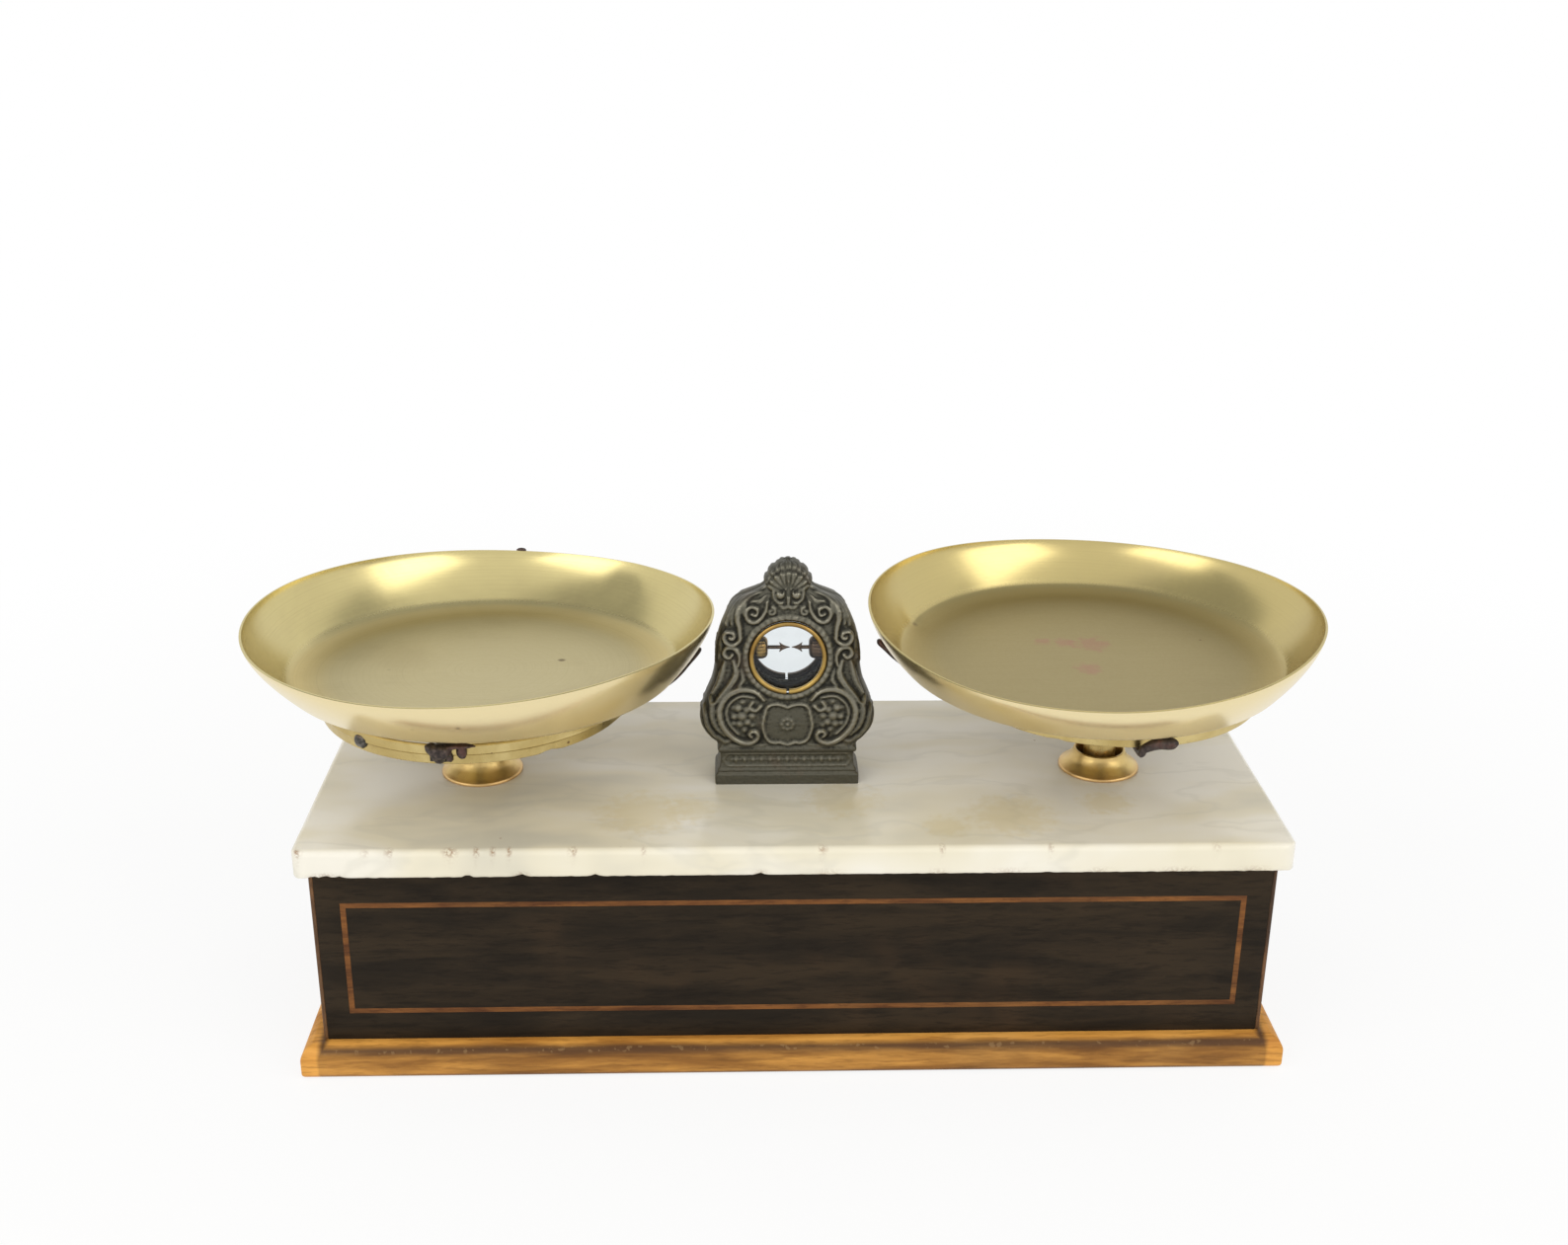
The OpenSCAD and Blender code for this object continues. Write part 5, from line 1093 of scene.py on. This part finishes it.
def makeHousing(look):
    x, y, z, along = housingSurface(look)
    flat = np.where(z <= plinthSteps[-1][2], x, along)
    height = carvedHeight(flat, z)
    rowNoise = np.array([[noise.noise(Vector((a * 0.9, b * 0.9, 0.0))) for a, b in zip(rowX, rowZ)]
                         for rowX, rowZ in zip(flat, z)])
    height = height + 0.16 * rowNoise
    edgeFade = np.clip((np.abs(y) - 0.4) / 1.5, 0, 1)
    height = softened(height, 1) * edgeFade
    ground = softened(height, 14)
    relief = np.clip(0.42 + 1.1 * (height - ground) + 0.12 * height, 0, 1)
    dxu, dyu = np.gradient(x, axis=1), np.gradient(y, axis=1)
    dyv, dzv = np.gradient(y, axis=0), np.gradient(z, axis=0)
    normal = np.stack([dyu * dzv, -dxu * dzv, dxu * dyv], axis=-1)
    normal /= np.maximum(np.linalg.norm(normal, axis=-1, keepdims=True), 1e-9)
    final = np.stack([x, y, z], axis=-1) + height[..., None] * normal
    final[:, 0, 1] = 0.0
    final[:, -1, 1] = 0.0
    final[0, :, 2] = 0.0
    for back in (False, True):
        shape = bmesh.new()
        bmesh.ops.create_grid(shape, x_segments=look["columns"], y_segments=look["rows"], size=1.0)
        layer = shape.verts.layers.float.new("relief")
        for vert in shape.verts:
            i = round((vert.co.x + 1) / 2 * look["columns"])
            j = round((vert.co.y + 1) / 2 * look["rows"])
            vert[layer] = relief[j, i]
            vert.co = Vector(final[j, i])
        window = look["windowR"]
        inner = [face for face in shape.faces
                 if all(math.hypot(v.co.x, v.co.z - look["windowAt"]) < window + 0.12 for v in face.verts)]
        bmesh.ops.delete(shape, geom=inner, context="FACES")
        for edge in shape.edges:
            if edge.is_boundary:
                for vert in edge.verts:
                    off = Vector((vert.co.x, 0.0, vert.co.z - look["windowAt"]))
                    if off.length < window + 1.5 and vert.co.y < -2.0:
                        off = off.normalized() * window
                        vert.co.x, vert.co.z = off.x, off.z + look["windowAt"]
        bmesh.ops.remove_doubles(shape, verts=shape.verts, dist=0.004)
        if back:
            bmesh.ops.scale(shape, verts=shape.verts, vec=(1, -1, 1))
        bmesh.ops.recalc_face_normals(shape, faces=shape.faces)
        outward = sum(face.normal.y * face.calc_area() for face in shape.faces)
        if (outward > 0) != back:
            bmesh.ops.reverse_faces(shape, faces=shape.faces)
        bmesh.ops.scale(shape, verts=shape.verts, vec=(mm, mm, mm))
        bmesh.ops.translate(shape, verts=shape.verts, vec=Vector(look["place"]) * mm)
        node = "housing_back" if back else "housing_front"
        piece = addPiece(node + "_carved", shape, [node], smoothBelow=80.0)
        # inner faces of the wall: painted shade, near black
        piece.data.materials.append(finishes["housingInside"])
        wall = piece.modifiers.new("wall", "SOLIDIFY")
        wall.thickness = look["wall"] * mm
        wall.offset = -1.0
        wall.material_offset = 1
        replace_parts(piece, node)


makeHousing(housingLook)
print("housing carved")
softenNode("base_board", 0.6)


# Floor, world and lamps
stageLook = {"floor": 60.0, "paper": (0.93, 0.93, 0.92), "seenShare": (0.85, 1.0), "spread": (0.3, 0.8),
             "fill": 0.66}
greyCard = {"middle": (0.0, 1.15, 2.4), "half": (3.0, 1.6), "grey": (0.43, 0.44, 0.45)}  # seen in metal only
white = (1.0, 1.0, 1.0)


def newSheet(name, half, middle, materialName):
    shape = bmesh.new()
    bmesh.ops.create_grid(shape, x_segments=1, y_segments=1, size=1.0)
    bmesh.ops.scale(shape, verts=shape.verts, vec=(*half, 1.0))
    bmesh.ops.translate(shape, verts=shape.verts, vec=middle)
    mesh = bpy.data.meshes.new(name)
    shape.to_mesh(mesh)
    shape.free()
    sheet = bpy.data.objects.new(name, mesh)
    bpy.context.scene.collection.objects.link(sheet)
    material = bpy.data.materials.new(materialName)
    material.use_nodes = True
    material.node_tree.nodes.clear()
    mesh.materials.append(material)
    return sheet, material.node_tree


def seenRays(tree):
    rays = addNode(tree, "ShaderNodeLightPath").outputs
    direct = mathNode(tree, "MAXIMUM", rays["Is Camera Ray"], rays["Is Glossy Ray"])
    return mathNode(tree, "MAXIMUM", direct, rays["Is Transmission Ray"])


def addFloor(look):
    floor, tree = newSheet("paperFloor", (look["floor"], look["floor"]), (0.0, 0.0, 0.0), "whitePaper")
    paper = addNode(tree, "ShaderNodeBsdfDiffuse", {"Color": look["paper"]})
    glow = addNode(tree, "ShaderNodeEmission", {"Color": white, "Strength": 1.0})
    place = addNode(tree, "ShaderNodeTexCoord").outputs["Object"]
    away = vectorNode(tree, "LENGTH", place, output="Value")
    share = mathNode(tree, "MULTIPLY", seenRays(tree), stepRange(tree, away, *look["spread"], *look["seenShare"]))
    blend = addNode(tree, "ShaderNodeMixShader", {0: share, 1: paper.outputs[0], 2: glow.outputs[0]})
    addNode(tree, "ShaderNodeOutputMaterial", {0: blend.outputs[0]})


def addWorld(look):
    world = bpy.data.worlds.new("softStudio")
    world.use_nodes = True
    tree = world.node_tree
    colour = mixColours(tree, seenRays(tree), (look["fill"],) * 3, white)
    setInputs(tree, tree.nodes["Background"], {"Color": colour, "Strength": 1.0})
    bpy.context.scene.world = world


def addGreyCard(look):
    card, tree = newSheet("greyCard", look["half"], look["middle"], "cardGrey")
    glow = addNode(tree, "ShaderNodeEmission", {"Color": look["grey"], "Strength": 1.0})
    addNode(tree, "ShaderNodeOutputMaterial", {0: glow.outputs[0]})
    card.visible_camera = card.visible_diffuse = card.visible_transmission = card.visible_shadow = False


lampLooks = {
    "leftSoftbox": {"place": (-1.75, -1.35, 1.65), "size": (1.9, 1.6), "power": 19.0, "shine": True,
                    "colour": (1.0, 0.98, 0.94)},
    "rightSoftbox": {"place": (1.75, -1.35, 1.65), "size": (1.9, 1.6), "power": 19.0, "shine": True,
                     "colour": (1.0, 0.98, 0.94)},
    "frontFill": {"place": (0.0, -2.2, 0.9), "size": (1.6, 1.2), "power": 9.0, "shine": False,
                  "colour": (1.0, 0.98, 0.95)},
}


lampAim = Vector((0.0, 0.0, 0.12))


def addLamp(name, look):
    light = bpy.data.lights.new(name, "AREA")
    light.shape = "RECTANGLE"
    light.size, light.size_y = look["size"]
    light.energy = look["power"]
    light.color = look["colour"]
    lamp = bpy.data.objects.new(name, light)
    place = Vector(look["place"])
    lamp.location = place
    lamp.rotation_euler = (lampAim - place).to_track_quat("-Z", "Y").to_euler()
    lamp.visible_camera, lamp.visible_glossy = False, look["shine"]
    bpy.context.scene.collection.objects.link(lamp)


addFloor(stageLook)
addWorld(stageLook)
addGreyCard(greyCard)
for name, look in lampLooks.items():
    addLamp(name, look)
bpy.context.scene.view_settings.view_transform = "Standard"
print("stage and lamps set")
